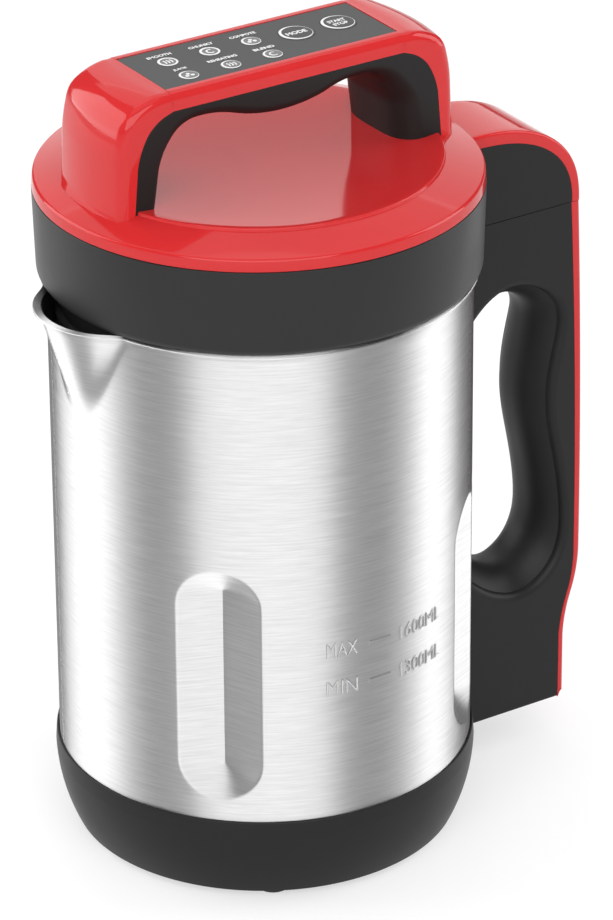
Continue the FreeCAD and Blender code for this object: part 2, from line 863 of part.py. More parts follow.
# The point half way down the lid's shallow dish, between its edge and its flat middle.
CROWN_MID = (34.0, 270.9)


def lid_shells():
    wall = d.lid_wall
    seat_top = d.lid_seat + wall
    inner_head = d.collar_head - wall
    inner_foot = d.collar_foot - wall
    cup_wall = d.plug_radius - wall
    floor_top = d.plug_floor + d.plug_floor_thick
    round_start = d.collar_foot - d.collar_round
    round_end = d.lid_seat + d.collar_round
    housing = revolved("housing_blank", [
        (d.housing_bore, d.plug_floor), (d.plug_radius, d.plug_floor), (d.plug_radius, d.lid_seat),
        (round_start, d.lid_seat), floor_bend(round_start, round_end, d.collar_round),
        (d.collar_head, d.lid_edge), (inner_head, d.lid_edge),
        (inner_foot, seat_top), (cup_wall, seat_top), (cup_wall, floor_top), (d.housing_bore, floor_top)])
    screw_holes = [rod(d.motor_screw + HAIR, BELOW_ALL, ABOVE_ALL, x) for x in motor_screw_places()]
    node("lid_housing", cut(housing, wire_port(), *screw_holes))

    skin = d.cover_skin
    rim = d.cover_rim
    lip = inner_head - d.lip_room
    lip_inside = lip - d.lip_thick
    rim_edge = d.collar_head - d.rim_round
    round_foot = rim - d.rim_round
    slant = d.rim_round * math.sqrt(0.5)
    cover = revolved("cover_blank", [
        (d.collar_head, d.lid_edge), (d.collar_head, round_foot),
        Arc((rim_edge + slant, round_foot + slant), (rim_edge, rim)),
        (d.crown_radius, d.crown_edge), Arc(CROWN_MID, (d.crown_flat, d.crown_dish)), (0, d.crown_dish),
        (0, d.crown_dish - skin), (d.crown_flat, d.crown_dish - skin),
        Arc((CROWN_MID[0], CROWN_MID[1] - skin), (d.crown_radius, d.crown_edge - skin)),
        (lip_inside, rim - skin - ROOM),
        (lip_inside, d.lip_foot), (lip, d.lip_foot), (lip, d.lid_edge)])
    ribbon_slot = box((d.ribbon_slot_near, d.ribbon_slot_far), across(d.ribbon_slot_half),
                      (d.lip_foot, ABOVE_ALL))
    node("lid_cover", cut(cover, ribbon_slot))

    sheet_top = d.under_foot + d.under_sheet
    flat_edge = d.under_radius - d.under_bevel
    inner_wall = d.under_radius - d.under_sheet
    under = revolved("under_blank", [
        (d.tube_radius, d.under_foot), (flat_edge, d.under_foot),
        (d.under_radius, d.under_foot + d.under_bevel), (d.under_radius, d.plug_floor),
        (inner_wall, d.plug_floor), (inner_wall, sheet_top), (d.tube_radius, sheet_top)])
    node("lid_underplate", cut(under, rod(d.probe_radius, BELOW_ALL, ABOVE_ALL, -d.probe_place)))
    node("overflow_probe", fuse(rod(d.probe_radius, d.probe_tip, d.probe_top, -d.probe_place),
                                rod(d.probe_head, sheet_top, d.probe_top, -d.probe_place)))
    root = d.plug_radius + d.seal_root
    reach = d.plug_radius + d.seal_reach
    lip_step = (d.seal_top - d.seal_foot) / 3
    node("lid_seal", revolved("seal_blank", [
        (d.plug_radius, d.seal_foot), (root, d.seal_foot), (reach, d.seal_foot + lip_step),
        (root, d.seal_foot + 1.5 * lip_step), (reach, d.seal_top - lip_step / 2), (root, d.seal_top),
        (d.plug_radius, d.seal_top)]))


def crown_space():
    """The space under the lid cover's top, which the feet of the arch are cut to."""
    outside = d.collar_head + d.rim_round
    rim_edge = d.collar_head - d.rim_round
    return revolved("crown_space", [
        (0, d.lid_seat), (outside, d.lid_seat), (outside, d.cover_rim), (rim_edge, d.cover_rim),
        (d.crown_radius, d.crown_edge), Arc(CROWN_MID, (d.crown_flat, d.crown_dish)), (0, d.crown_dish)])


def mirrored(half):
    """The other half of an outline that ends on the middle plane, in drawing order."""
    places = [step.end if isinstance(step, Arc) else step for step in half]
    other = [(-places[-1][0], places[-1][1])]
    for step, before in zip(reversed(half), list(reversed(places))[1:]):
        end = (-before[0], before[1])
        other.append(Arc((-step.mid[0], step.mid[1]), end) if isinstance(step, Arc) else end)
    return other


# The arch seen from the front, each line from its right foot to the middle: the outside of the red skin,
# the line between skin and black grip, and the grip's finger side.
ARCH_OUTSIDE = [(75.4, d.arch_foot), (73.9, 292.6), Arc((66.6, 309.0), (50.0, d.arch_top))]
ARCH_SEAM = [(67.0, d.arch_foot), (64.3, 290.0), Arc((60.0, 301.5), (49.0, d.arch_skin))]
FINGER_LINE = [(-59.4, d.arch_foot), (-54.9, 287.0), Arc((-50.6, 296.6), (-40.0, 303.4)),
               Arc((-31.0, 303.3), (-22.0, 301.2)), Arc((-3.0, 297.9), (16.0, 300.6)),
               Arc((26.0, 303.4), (38.0, 303.0)), Arc((49.6, 297.2), (54.1, 287.0)), (57.8, d.arch_foot)]

# The swelling on the finger side of the grip's right leg, before its sides are rounded.
LEG_SWELLING = [(52.8, d.arch_foot), (48.3, 287.0), Arc((44.6, 296.4), (36.0, 302.2)), (44.0, 304.4),
                (60.0, 296.0), (62.0, d.arch_foot)]

# The duct in the grip's right leg, and the ribbon that runs in it from the panel to the lid.
RIBBON_DUCT = [(60.2, d.arch_foot), (60.0, 281.0), (54.4, 297.0), (42.0, 306.8), (42.0, 310.0), (45.5, 310.0),
               (57.2, 299.0), (63.0, 281.6), (64.4, d.arch_foot)]
RIBBON = [(61.8, 220.6), (61.0, 281.0), (55.6, 297.6), (43.0, 308.8), (44.6, 308.8), (56.4, 298.2),
          (62.0, 281.2), (62.8, 220.6)]


def carrying_arch():
    outside = ARCH_OUTSIDE + mirrored(ARCH_OUTSIDE)
    seam = ARCH_SEAM + mirrored(ARCH_SEAM)
    blank = padded("arch_blank", outside + reversed_outline(seam), d.arch_width)
    ends = cone(d.arch_end_foot, d.arch_end_head, d.arch_top - d.arch_foot, (0, 0, d.arch_foot))
    bed = box(across(d.panel_half_length + d.panel_room), across(d.panel_half_width + d.panel_room),
              (d.panel_top - d.panel_thick, ABOVE_ALL))
    window = box(across(d.arch_window_length), across(d.arch_window_width), (d.crown_dish, ABOVE_ALL))
    node("lid_arch", cut(common(blank, ends), crown_space(), bed, window))

    grip = padded("grip_blank", FINGER_LINE + seam, d.arch_width)
    swelling = common(padded("swelling_blank", LEG_SWELLING, d.arch_width),
                      rod(d.leg_round, d.arch_foot, d.arch_top, d.leg_round_place))
    duct = padded("ribbon_duct", RIBBON_DUCT, d.ribbon_duct)
    node("arch_grip", cut(fuse(grip, swelling), duct, crown_space()))
    node("panel_ribbon", padded("ribbon_blank", RIBBON, d.ribbon_width))


def control_panel():
    top = d.panel_top
    under = top - d.panel_thick
    lens_foot = under - d.lens_depth
    lens_spots = [(d.lens_first + d.lens_step * column, row)
                  for column in range(3) for row in (d.lens_row_back, d.lens_row_front)]
    button_spots = {"mode": d.mode_place, "start": d.start_place}
    plate = box(across(d.panel_half_length), across(d.panel_half_width), (under, top))
    lens_holes = [rod(d.lens_radius, lens_foot, ABOVE_ALL, x, y) for x, y in lens_spots]
    button_room = d.button_radius + d.button_gap
    row = d.button_row
    button_holes = [rod(button_room, lens_foot, ABOVE_ALL, x, row) for x in button_spots.values()]
    node("control_panel", cut(plate, *lens_holes, *button_holes))
    node("indicator_lenses", group(*[rod(d.lens_radius, lens_foot, top + d.lens_rise, x, y)
                                     for x, y in lens_spots]))
    board_top = d.arch_skin + d.board_thick
    board = box(across(d.key_board_length), across(d.key_board_width), (d.arch_skin, board_top))
    lamps = [rod(d.lamp_radius, board_top - BITE, lens_foot, x, y) for x, y in lens_spots]
    switches = [box(about(x, d.switch_half), about(row, d.switch_half), (board_top - BITE, d.switch_top))
                for x in button_spots.values()]
    node("control_board", fuse(board, *lamps, *switches))
    for name, x in button_spots.items():
        cap = rod(d.button_radius, d.button_foot, top + d.button_rise, x, row)
        flange = rod(d.button_radius + d.flange_reach, d.button_foot, d.button_foot + d.flange_thick, x, row)
        node(f"{name}_button", fuse(cap, flange))


# How full the corner of the rear block is: 2 is an ellipse, and a higher number is squarer.
BLOCK_FULLNESS = 2.4


def ellipse_arcs(length, height):
    """The quarter curve of the rear block, from its back foot up to the lid's edge, as two arcs."""
    points = []
    power = 2 / BLOCK_FULLNESS
    for angle in (15, 35, 60, 90):
        turn = math.radians(angle)
        along = abs(math.cos(turn)) ** power
        rise = math.sin(turn) ** power
        points.append((d.block_start + length * along, d.block_foot + height * rise))
    return [Arc(points[0], points[1]), Arc(points[2], points[3])]


def rear_block():
    foot = d.block_foot
    start = d.block_start
    front = d.block_front
    wall = d.block_wall
    foot_room = d.collar_foot + HAIR
    head_room = d.collar_head + HAIR
    lid_space = fuse(rod(foot_room, d.plug_floor, d.lid_seat),
                     cone(foot_room, head_room, d.lid_edge - d.lid_seat, (0, 0, d.lid_seat)),
                     rod(head_room, d.lid_edge, ABOVE_ALL))
    outer = ellipse_arcs(d.cap_length, d.cap_height)
    seam = ellipse_arcs(d.block_length, d.block_height)
    cap = padded("cap_blank", [
        (start + d.cap_length, foot), *outer, (front, outer[1].end[1]), (front, seam[1].end[1]), seam[1].end,
        Arc(seam[1].mid, seam[0].end), Arc(seam[0].mid, (start + d.block_length, foot))], d.block_width)
    node("rear_cap", cut(cap, lid_space))
    block = padded("block_blank", [
        (start + d.block_length, foot), *seam, (front, seam[1].end[1]), (front, foot)], d.block_width)
    hollow = ellipse_arcs(d.block_length - wall, d.block_height - 2 * wall)
    raised = foot + wall
    pocketed(block, [
        (start + d.block_length - wall, raised), hollow[0].end, hollow[1], (front, hollow[1].end[1]),
        (front, raised)], d.handle_room)
    plug_hole = box((d.plug_front, d.plug_back), across(d.plug_half), (d.plug_floor, raised + wall))
    node("rear_housing", cut(block, lid_space, plug_hole))


def motor():
    foot = d.plug_floor + d.plug_floor_thick
    top = d.motor_top
    plate_top = foot + d.motor_plate
    can = revolved("can_blank", [
        (d.bearing_radius, foot), (d.motor_radius, foot), (d.motor_radius, top), (d.motor_bore, top),
        (d.motor_bore, plate_top), (d.bearing_radius, plate_top)])
    screw_holes = [rod(d.motor_screw, d.plug_floor, plate_top, x) for x in motor_screw_places()]
    node("motor_can", cut(can, *screw_holes))
    screws = [fuse(rod(d.motor_screw, d.plug_floor - BITE, plate_top, x),
                   rod(d.motor_screw_head, d.plug_floor - d.motor_screw, d.plug_floor, x))
              for x in motor_screw_places()]
    node("motor_screws", group(*screws))
    magnet_low = foot + d.magnet_rise
    magnet_high = top - d.magnet_drop
    magnets = []
    for angle in MAGNET_ANGLES:
        arc = rod(d.motor_bore, magnet_low, magnet_high)
        arc.Angle = MAGNET_SWEEP
        magnets.append(turned(cut(arc, rod(d.magnet_bore, foot, top)), angle))
    node("motor_magnets", group(*magnets))
    cap_low = top - d.end_cap_thick
    node("motor_end_cap", tube(d.motor_bore, d.bearing_radius, cap_low, top))
    brushes = [box(span, across(d.brush_half), (cap_low - d.brush_height, cap_low))
               for span in ((d.brush_near, d.brush_far), (-d.brush_far, -d.brush_near))]
    node("motor_brushes", group(*brushes))
    node("lower_bearing", tube(d.bearing_radius, d.shaft_room, foot, foot + d.bearing_height))
    bearing_top = top + d.bearing_rise
    bearing_foot = bearing_top - d.upper_bearing_height
    node("upper_bearing", tube(d.bearing_radius, d.shaft_room, bearing_foot, bearing_top))

    stack = tube(d.rotor_radius, d.shaft_radius, foot + d.stack_rise, top - d.stack_drop)
    windings = tube(d.winding_radius, d.shaft_radius, foot + d.winding_rise, top - d.winding_drop)
    node("motor_rotor", fuse(stack, windings))
    node("commutator", tube(d.commutator_radius, d.shaft_radius, d.commutator_low, d.commutator_high))
    node("drive_shaft", rod(d.shaft_radius, d.shaft_tip, d.shaft_head))
    disc_top = d.fan_foot + d.fan_plate
    hub = tube(d.fan_hub, d.shaft_radius, d.fan_foot, d.fan_top)
    plate = tube(d.fan_radius, d.shaft_radius, d.fan_foot, disc_top)
    vanes = []
    for angle in VANE_ANGLES:
        vane = box((d.vane_near, d.vane_far), across(d.vane_half), (disc_top - BITE, d.vane_top))
        vanes.append(turned(vane, angle))
    node("cooling_fan", fuse(hub, plate, *vanes))


def stirring_end():
    flange_foot = d.under_foot + d.under_sheet
    node("shaft_tube", revolved("tube_blank", [
        (d.tube_bore, d.tube_foot), (d.tube_radius, d.tube_foot), (d.tube_radius, flange_foot),
        (d.tube_flange, flange_foot), (d.tube_flange, d.tube_top), (d.tube_bore, d.tube_top)]))
    node("tube_bushing", tube(d.tube_bore, d.shaft_room, d.tube_foot, d.bushing_top))
    node("shaft_seal", tube(d.tube_bore, d.shaft_room, d.shaft_seal_low, d.shaft_seal_high))
    wall = d.guard_wall
    shoulder_top = d.guard_shoulder_top
    bell = revolved("bell_blank", [
        (d.tube_radius, d.guard_top), (d.guard_shoulder, shoulder_top), (d.guard_radius, d.guard_bend),
        (d.guard_radius, d.guard_foot), (d.guard_radius - wall, d.guard_foot),
        (d.guard_radius - wall, d.guard_bend - wall / 2), (d.guard_shoulder - ROOM, shoulder_top - wall),
        (d.tube_radius, d.guard_top - wall)])
    collar = tube(d.tube_radius + wall, d.tube_radius, d.guard_top - wall, d.guard_collar_top)
    windows = [turned(box((d.guard_shoulder, 2 * d.guard_radius), across(d.window_half),
                          (d.window_low, d.window_high)), angle) for angle in WINDOW_ANGLES]
    node("blade_guard", cut(fuse(bell, collar), *windows))

    level = d.blade_level
    hub_foot = level - d.hub_drop
    hub = tube(d.blade_hub, d.shaft_radius, hub_foot, level + d.hub_rise)
    tilt = Placement(Vector(0, 0, level.value), Rotation(Vector(1, 0, 0), WING_TILT))
    wings = []
    for angle in WING_ANGLES:
        wing = box((d.wing_root, d.blade_reach), across(d.wing_half), across(d.wing_thick / 2))
        tilted = doc.addObject("Part::Compound", "tilted")
        tilted.Links = [wing]
        tilted.Placement = tilt
        wings.append(turned(tilted, angle))
    node("blade", fuse(hub, *wings))
    nut = doc.addObject("Part::Prism", "nut")
    nut.Polygon = 6
    bind(nut, "Circumradius", d.nut_radius)
    bind(nut, "Height", d.nut_height)
    place(nut, 0, 0, hub_foot - d.nut_height)
    node("blade_nut", cut(nut, rod(d.shaft_radius, BELOW_ALL, level)))


# Places on the lid's power board: the relay's two sides, the capacitor's middle and the posts under it.
RELAY_SIDES = ((44.0, 57.0), (5.0, 20.0))
CAPACITOR_PLACE = (42.0, -14.0)
POST_PLACES = ((36.0, -20.0), (36.0, 20.0), (62.0, -20.0), (62.0, 20.0))


def lid_electrics():
    floor = d.plug_floor + d.plug_floor_thick
    board_low = d.power_board_low
    board_top = board_low + d.board_thick
    board = box((d.power_board_near, d.power_board_far), across(d.power_board_half), (board_low, board_top))
    relay = box(*RELAY_SIDES, (board_top - BITE, d.relay_top))
    capacitor = rod(d.capacitor_radius, board_top - BITE, d.capacitor_top, *CAPACITOR_PLACE)
    node("power_board", fuse(board, relay, capacitor))
    node("board_posts", group(*[rod(d.board_post, floor, board_low, x, y) for x, y in POST_PLACES]))
    node("lid_wiring", rod(d.wire_radius, d.wire_start, d.wire_end, 0, d.wire_side, d.wire_level, "X"))


def check_document():
    """Stop if an object failed, or a node has no sound solid."""
    for piece in doc.Objects:
        if "Invalid" in piece.State or "Error" in piece.State:
            raise RuntimeError(f"{piece.Name} failed: {piece.State}")
    for name, piece in nodes:
        shape = piece.Shape
        if shape.isNull() or not shape.isValid() or not shape.Solids:
            raise RuntimeError(f"{name} has no sound solid")


def write_parts():
    os.makedirs("parts", exist_ok=True)
    for name, piece in nodes:
        piece.Shape.exportStep(f"parts/{name}.step")
        print(f"{name}: {len(piece.Shape.Solids)} solid, {piece.Shape.Volume / 1000:.2f} cm3")


jug_shell()
heated_base()
heater()
handle()
mains_entry()
lid_connection()
lid_shells()
carrying_arch()
control_panel()
rear_block()
motor()
stirring_end()
lid_electrics()
doc.recompute()
check_document()
write_parts()
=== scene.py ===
import json
import math
from collections import namedtuple

import bmesh
import bpy
import numpy as np
from mathutils import Matrix, Vector


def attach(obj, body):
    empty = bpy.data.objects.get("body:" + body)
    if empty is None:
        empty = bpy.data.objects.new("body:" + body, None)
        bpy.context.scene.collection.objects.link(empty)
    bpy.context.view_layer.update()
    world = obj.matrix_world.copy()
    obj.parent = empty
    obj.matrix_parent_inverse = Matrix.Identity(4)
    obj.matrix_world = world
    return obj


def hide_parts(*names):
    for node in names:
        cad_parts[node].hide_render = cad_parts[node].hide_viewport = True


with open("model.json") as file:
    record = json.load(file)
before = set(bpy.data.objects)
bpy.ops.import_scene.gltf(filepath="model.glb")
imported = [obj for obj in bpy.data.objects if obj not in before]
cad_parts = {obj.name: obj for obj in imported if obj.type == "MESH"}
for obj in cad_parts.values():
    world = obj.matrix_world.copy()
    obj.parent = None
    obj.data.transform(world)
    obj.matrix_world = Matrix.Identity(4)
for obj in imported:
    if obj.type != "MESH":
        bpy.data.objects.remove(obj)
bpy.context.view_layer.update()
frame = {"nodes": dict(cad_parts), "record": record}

# A soup maker: a brushed steel jug with a black base and rear handle, and a lid with a red carrying arch.
# Lengths are in millimetres and angles in degrees until a mesh is made, which is in metres.

MM = 0.001

# Steel jug
JUG_RADIUS = 79.0
JUG_WALL = 1.0
JUG_FOOT = 22.5
WALL_FOOT = 26.5
WALL_HEAD = 227.6
SPOUT_TURN = 180.0
SPOUT_AXIS = 62.0
SPOUT_RADIUS = 28.5
SPOUT_FOOT = 132.6
SPOUT_START = 184.0
SPOUT_HEAD = 229.0
SPOUT_BLEND = (1.4, 4.0)
RECESS_TURNS = (45.6, 134.4, 225.6, 314.4)
RECESS_APEX = 71.0
RECESS_HALF = 16.1
RECESS_SLOPE = 0.394
RECESS_LOW = 56.6
RECESS_HIGH = 129.5
RECESS_STRAIGHT = (61.6, 124.5)
RECESS_END = 16.3
RECESS_END_DEPTH = 11.6
RECESS_LEAN = 1.07
RECESS_SPAN = 15.0
RECESS_FIELD = (42.0, 145.0)
RECESS_EDGE = 0.5

# Lid
COLLAR_FOOT = 82.45
COLLAR_HEAD = 83.4
LID_SEAT = 229.4
LID_EDGE = 263.2
CROWN_RADIUS = 68.0
CROWN_EDGE = 273.6
CROWN_DISH = 270.0
RIM_TOP = 268.0
ARCH_HALF = 21.8
ARCH_END = 73.5
ARCH_TOP = 315.6
ARCH_FOOT = 262.0
ARCH_EDGE = 3.2
PANEL_HALF_LENGTH = 49.3
PANEL_HALF_WIDTH = 16.9
PANEL_TOP = 315.4
PANEL_GAP = 0.2
PANEL_BED = PANEL_HALF_LENGTH + PANEL_GAP
PANEL_BED_DEPTH = 1.9

# Rear handle
HANDLE_HALF = 18.0
HANDLE_TOP = 228.4
HANDLE_FOOT = 14.8
HANDLE_LIP = 3.2
LINING_HALF = 15.3
BLOCK_FOOT = 228.6
BLOCK_START = 82.9
BLOCK_FRONT = 76.0
BLOCK_FULLNESS = 2.4


# Outlines

Arc = namedtuple("Arc", "mid end")


def unit(vector):
    return vector / np.linalg.norm(vector)


def arc_points(start, mid, end, count):
    """Points from start to end on the round line through mid."""
    a, b, c = (np.array(p, float) for p in (start, mid, end))
    rows = 2 * np.array([b - a, c - a])
    centre = np.linalg.solve(rows, np.array([b @ b - a @ a, c @ c - a @ a]))
    first, middle, last = (math.atan2(*(p - centre)[::-1]) for p in (a, b, c))
    to_middle = (middle - first) % math.tau
    to_last = (last - first) % math.tau
    sweep = to_last if to_middle < to_last else to_last - math.tau
    angles = first + sweep * np.linspace(0, 1, count)
    return centre + np.linalg.norm(a - centre) * np.column_stack([np.cos(angles), np.sin(angles)])


def trace(outline, step=1.5):
    """An open line of points and arcs as points about one step apart."""
    points = [np.array([outline[0]], float)]
    start = outline[0]
    for leg in outline[1:]:
        end = leg.end if isinstance(leg, Arc) else leg
        reach = math.dist(start, end)
        count = max(2, math.ceil(1.15 * reach / step) + 1)
        if isinstance(leg, Arc):
            stretch = arc_points(start, leg.mid, end, count)
        else:
            stretch = np.linspace(start, end, count)
        points.append(stretch[1:])
        start = end
    return np.vstack(points)


def even(points, count):
    """The same line with a number of points, evenly spaced."""
    gaps = np.linalg.norm(np.diff(points, axis=0), axis=1)
    along = np.concatenate([[0], np.cumsum(gaps)])
    spots = np.linspace(0, along[-1], count)
    return np.column_stack([np.interp(spots, along, points[:, axis]) for axis in range(points.shape[1])])


def stations(stretches, counts):
    """Points along a line of several stretches with a count for each, so that two lines can be paired."""
    lines = []
    start = None
    for stretch, count in zip(stretches, counts):
        outline = stretch if start is None else [start, *stretch]
        line = even(trace(outline, 0.4), count)
        lines.append(line if start is None else line[1:])
        last = outline[-1]
        start = last.end if isinstance(last, Arc) else last
    return np.vstack(lines)


def ring_spline(points, knots, spots):
    """A smooth closed line through points at the knots, read at some spots."""
    values = np.array(points, float)
    count = len(values)
    gaps = np.diff(knots)
    system = np.zeros((count, count))
    right = np.zeros((count, 2))
    for i in range(count):
        before, after = gaps[i - 1], gaps[i]
        system[i, i - 1] += before
        system[i, i] += 2 * (before + after)
        system[i, (i + 1) % count] += after
        rise = (values[(i + 1) % count] - values[i]) / after
        right[i] = 6 * (rise - (values[i] - values[i - 1]) / before)
    bends = np.linalg.solve(system, right)
    found = []
    for spot in spots:
        i = min(int(np.searchsorted(knots, spot, side="right")) - 1, count - 1)
        j = (i + 1) % count
        span = gaps[i]
        t = spot - knots[i]
        s = span - t
        found.append((bends[i] * s ** 3 + bends[j] * t ** 3) / (6 * span)
                     + (values[i] / span - bends[i] * span / 6) * s
                     + (values[j] / span - bends[j] * span / 6) * t)
    return np.array(found)


def filleted(corners, closed=False):
    """An outline with rounded corners: each corner is its two places and a radius."""
    step = math.radians(9)
    points = []
    for i, (x, z, radius) in enumerate(corners):
        here = np.array((x, z), float)
        at_end = not closed and i in (0, len(corners) - 1)
        if radius <= 0 or at_end:
            points.append(here)
            continue
        back = unit(np.array(corners[i - 1][:2], float) - here)
        ahead = unit(np.array(corners[(i + 1) % len(corners)][:2], float) - here)
        half = math.acos(np.clip(back @ ahead, -1, 1)) / 2
        centre = here + unit(back + ahead) * radius / math.sin(half)
        first = here + back * radius / math.tan(half) - centre
        last = here + ahead * radius / math.tan(half) - centre
        turn = math.pi - 2 * half
        count = max(2, math.ceil(turn / step))
        for k in range(count + 1):
            share = turn * k / count
            points.append(centre + (math.sin(turn - share) * first + math.sin(share) * last) / math.sin(turn))
    return np.array(points)


def inset(outline, depths):
    """A closed counter-clockwise outline moved inwards by a depth at each point."""
    least_lean = 0.35
    before = np.roll(outline, 1, axis=0)
    after = np.roll(outline, -1, axis=0)
    normals = []
    for here, a, b in zip(outline, before, after):
        first, second = (np.array([-way[1], way[0]]) for way in (unit(here - a), unit(b - here)))
        lean = max(least_lean, (1 + first @ second) / 2)
        normals.append((first + second) / 2 / lean)
    return outline + np.array(normals) * np.asarray(depths)[:, None]


# Meshes

SHARP = 35.0
MERGE_GAP = 0.0001 * MM


def linked(name, data):
    """A new object in the scene."""
    made = bpy.data.objects.new(name, data)
    bpy.context.scene.collection.objects.link(made)
    return made


def new_piece(name, mesh, finish):
    piece = linked(name, mesh)
    if finish is not None:
        mesh.materials.clear()
        mesh.materials.append(finish)
    return piece


def plain_mesh(piece):
    """What a piece's letters or modifiers come to, as a plain mesh."""
    graph = bpy.context.evaluated_depsgraph_get()
    return bpy.data.meshes.new_from_object(piece.evaluated_get(graph))


def smoothed(mesh, sharp=SHARP):
    mesh.shade_smooth()
    mesh.set_sharp_from_angle(angle=math.radians(sharp))
    return mesh


def tidy(mesh, sharp=SHARP):
    """Close the seams, point the faces outwards and smooth all but the sharp edges."""
    work = bmesh.new()
    work.from_mesh(mesh)
    bmesh.ops.remove_doubles(work, verts=work.verts, dist=MERGE_GAP)
    bmesh.ops.dissolve_degenerate(work, edges=work.edges, dist=MERGE_GAP)
    bmesh.ops.recalc_face_normals(work, faces=work.faces)
    work.to_mesh(mesh)
    work.free()
    return smoothed(mesh, sharp)


def stitched(lines):
    """Faces between closed lines of point numbers, each line joined to the next."""
    faces = []
    for first, second in zip(lines, lines[1:]):
        for k in range(len(first)):
            after = (k + 1) % len(first)
            faces.append((first[k], first[after], second[after], second[k]))
    return faces


def lofted(name, rings, finish):
    """A closed skin over rings that have the same number of points, with both ends closed."""
    size = len(rings[0])
    points = [tuple(float(x) * MM for x in point) for ring in rings for point in ring]
    numbers = [range(row * size, row * size + size) for row in range(len(rings))]
    mesh = bpy.data.meshes.new(name)
    mesh.from_pydata(points, [], stitched(numbers) + [tuple(numbers[0]), tuple(numbers[-1])])
    return new_piece(name, tidy(mesh), finish)


def joined(name, pieces):
    """Several pieces of one finish as one piece."""
    work = bmesh.new()
    for piece in pieces:
        work.from_mesh(piece.data)
    finish = pieces[0].data.materials[0]
    mesh = bpy.data.meshes.new(name)
    work.to_mesh(mesh)
    work.free()
    for piece in pieces:
        bpy.data.objects.remove(piece)
    return new_piece(name, smoothed(mesh), finish)


def wall_round(radius_at):
    """A rule that keeps points out of a round body about the jug's axis, by its radius at each height."""
    def keep_out(point):
        x, y, z = point
        least = radius_at(z)
        if x > 0 and math.hypot(x, y) < least:
            x = math.sqrt(least ** 2 - y ** 2)
        return (x, y, z)
    return keep_out


EDGE_STEPS = 6


def edge_profile(radius, half):
    """The rounded edges of a strip as pairs of depth below its face and place across it."""
    near = []
    for k in range(EDGE_STEPS + 1):
        turn = math.pi / 2 * k / EDGE_STEPS
        near.append((radius * (1 - math.sin(turn)), -half + radius * (1 - math.cos(turn))))
    return near


def away_from(inner, outer):
    """The directions square to an outer line, pointing away from the inner line."""
    along = np.gradient(outer, axis=0)
    ways = np.column_stack([along[:, 1], -along[:, 0]])
    ways /= np.maximum(np.linalg.norm(ways, axis=1), 1e-9)[:, None]
    return ways * np.sign(np.sum(ways * (outer - inner), axis=1))[:, None]


def band(name, inner, outer, half, edge, finish, crown=None, keep_out=None, middle=0.0, across=10,
         flats=None):
    """A strip of one width between two lines in the middle plane, with its outer edges rounded."""
    most_of_thick = 0.96
    most_of_half = 0.98
    rings = []
    edges = np.broadcast_to(np.asarray(edge, float), (len(outer),))
    ways = away_from(inner, outer)
    for i, (low, high) in enumerate(zip(inner, outer)):
        thick = np.linalg.norm(high - low)
        radius = min(edges[i], most_of_thick * thick, most_of_half * half)
        near = edge_profile(radius, half)
        if flats:
            flat = flats(i)
        else:
            flat = [(0.0, y) for y in np.linspace(-half + radius, half - radius, across + 1)[1:-1]]
        far = [(depth, -y) for depth, y in reversed(near)]
        ring = [(low[0], middle - half, low[1])]
        for depth, y in near + flat + far:
            lift = crown(i, y) if crown else 0.0
            spot = high + ways[i] * (lift - depth)
            ring.append((spot[0], middle + y, spot[1]))
        ring.append((low[0], middle + half, low[1]))
        rings.append([keep_out(p) for p in ring] if keep_out else ring)
    return lofted(name, rings, finish)


def in_middle_plane(spot, across):
    return (spot[0], across, spot[1])


def slab(name, outline, half, edge, finish, keep_out=None, to_space=in_middle_plane, across=8):
    """A plate of one thickness with a closed counter-clockwise outline, and an edge radius for each point."""
    support = 0.15
    radii = np.broadcast_to(np.asarray(edge, float), (len(outline),))
    near = [(inset(outline, radii + support), np.full(len(outline), -half))]
    near += [(inset(outline, depth), place) for depth, place in edge_profile(radii, half)]
    flat = [(outline, (1 - 2 * k / across) * (radii - half)) for k in range(1, across)]
    far = [(line, -depth) for line, depth in reversed(near)]
    rings = []
    for line, depths in near + flat + far:
        ring = [to_space(spot, depth) for spot, depth in zip(line, depths)]
        rings.append([keep_out(p) for p in ring] if keep_out else ring)
    return lofted(name, rings, finish)


# Node trees

def fill(tree, made, sockets):
    """Link the sockets of a node or give them values."""
    for key, value in sockets.items():
        if isinstance(value, bpy.types.NodeSocket):
            tree.links.new(value, made.inputs[key])
        else:
            made.inputs[key].default_value = value


def node(tree, kind, sockets=None, **settings):
    """A new node with its settings and sockets."""
    made = tree.nodes.new(kind)
    for key, value in settings.items():
        setattr(made, key, value)
    fill(tree, made, sockets or {})
    return made


def add(tree, kind, sockets=None, **settings):
    """The first output of a new node."""
    return node(tree, kind, sockets, **settings).outputs[0]


def maths(tree, operation, first, second):
    return add(tree, "ShaderNodeMath", {0: first, 1: second}, operation=operation)


def geometry_tree(name, inputs):
    """A tree with named inputs, and the outputs of its input node."""
    tree = bpy.data.node_groups.new(name, "GeometryNodeTree")
    tree.interface.new_socket("Geometry", in_out="INPUT", socket_type="NodeSocketGeometry")
    for label, kind in inputs.items():
        tree.interface.new_socket(label, in_out="INPUT", socket_type=kind)
    tree.interface.new_socket("Geometry", in_out="OUTPUT", socket_type="NodeSocketGeometry")
    return tree, tree.nodes.new("NodeGroupInput").outputs


def end_tree(tree, geometry, finish):
    real = add(tree, "GeometryNodeRealizeInstances", {"Geometry": geometry})
    painted = add(tree, "GeometryNodeSetMaterial", {"Geometry": real, "Material": finish})
    node(tree, "NodeGroupOutput", {"Geometry": painted})
    return tree


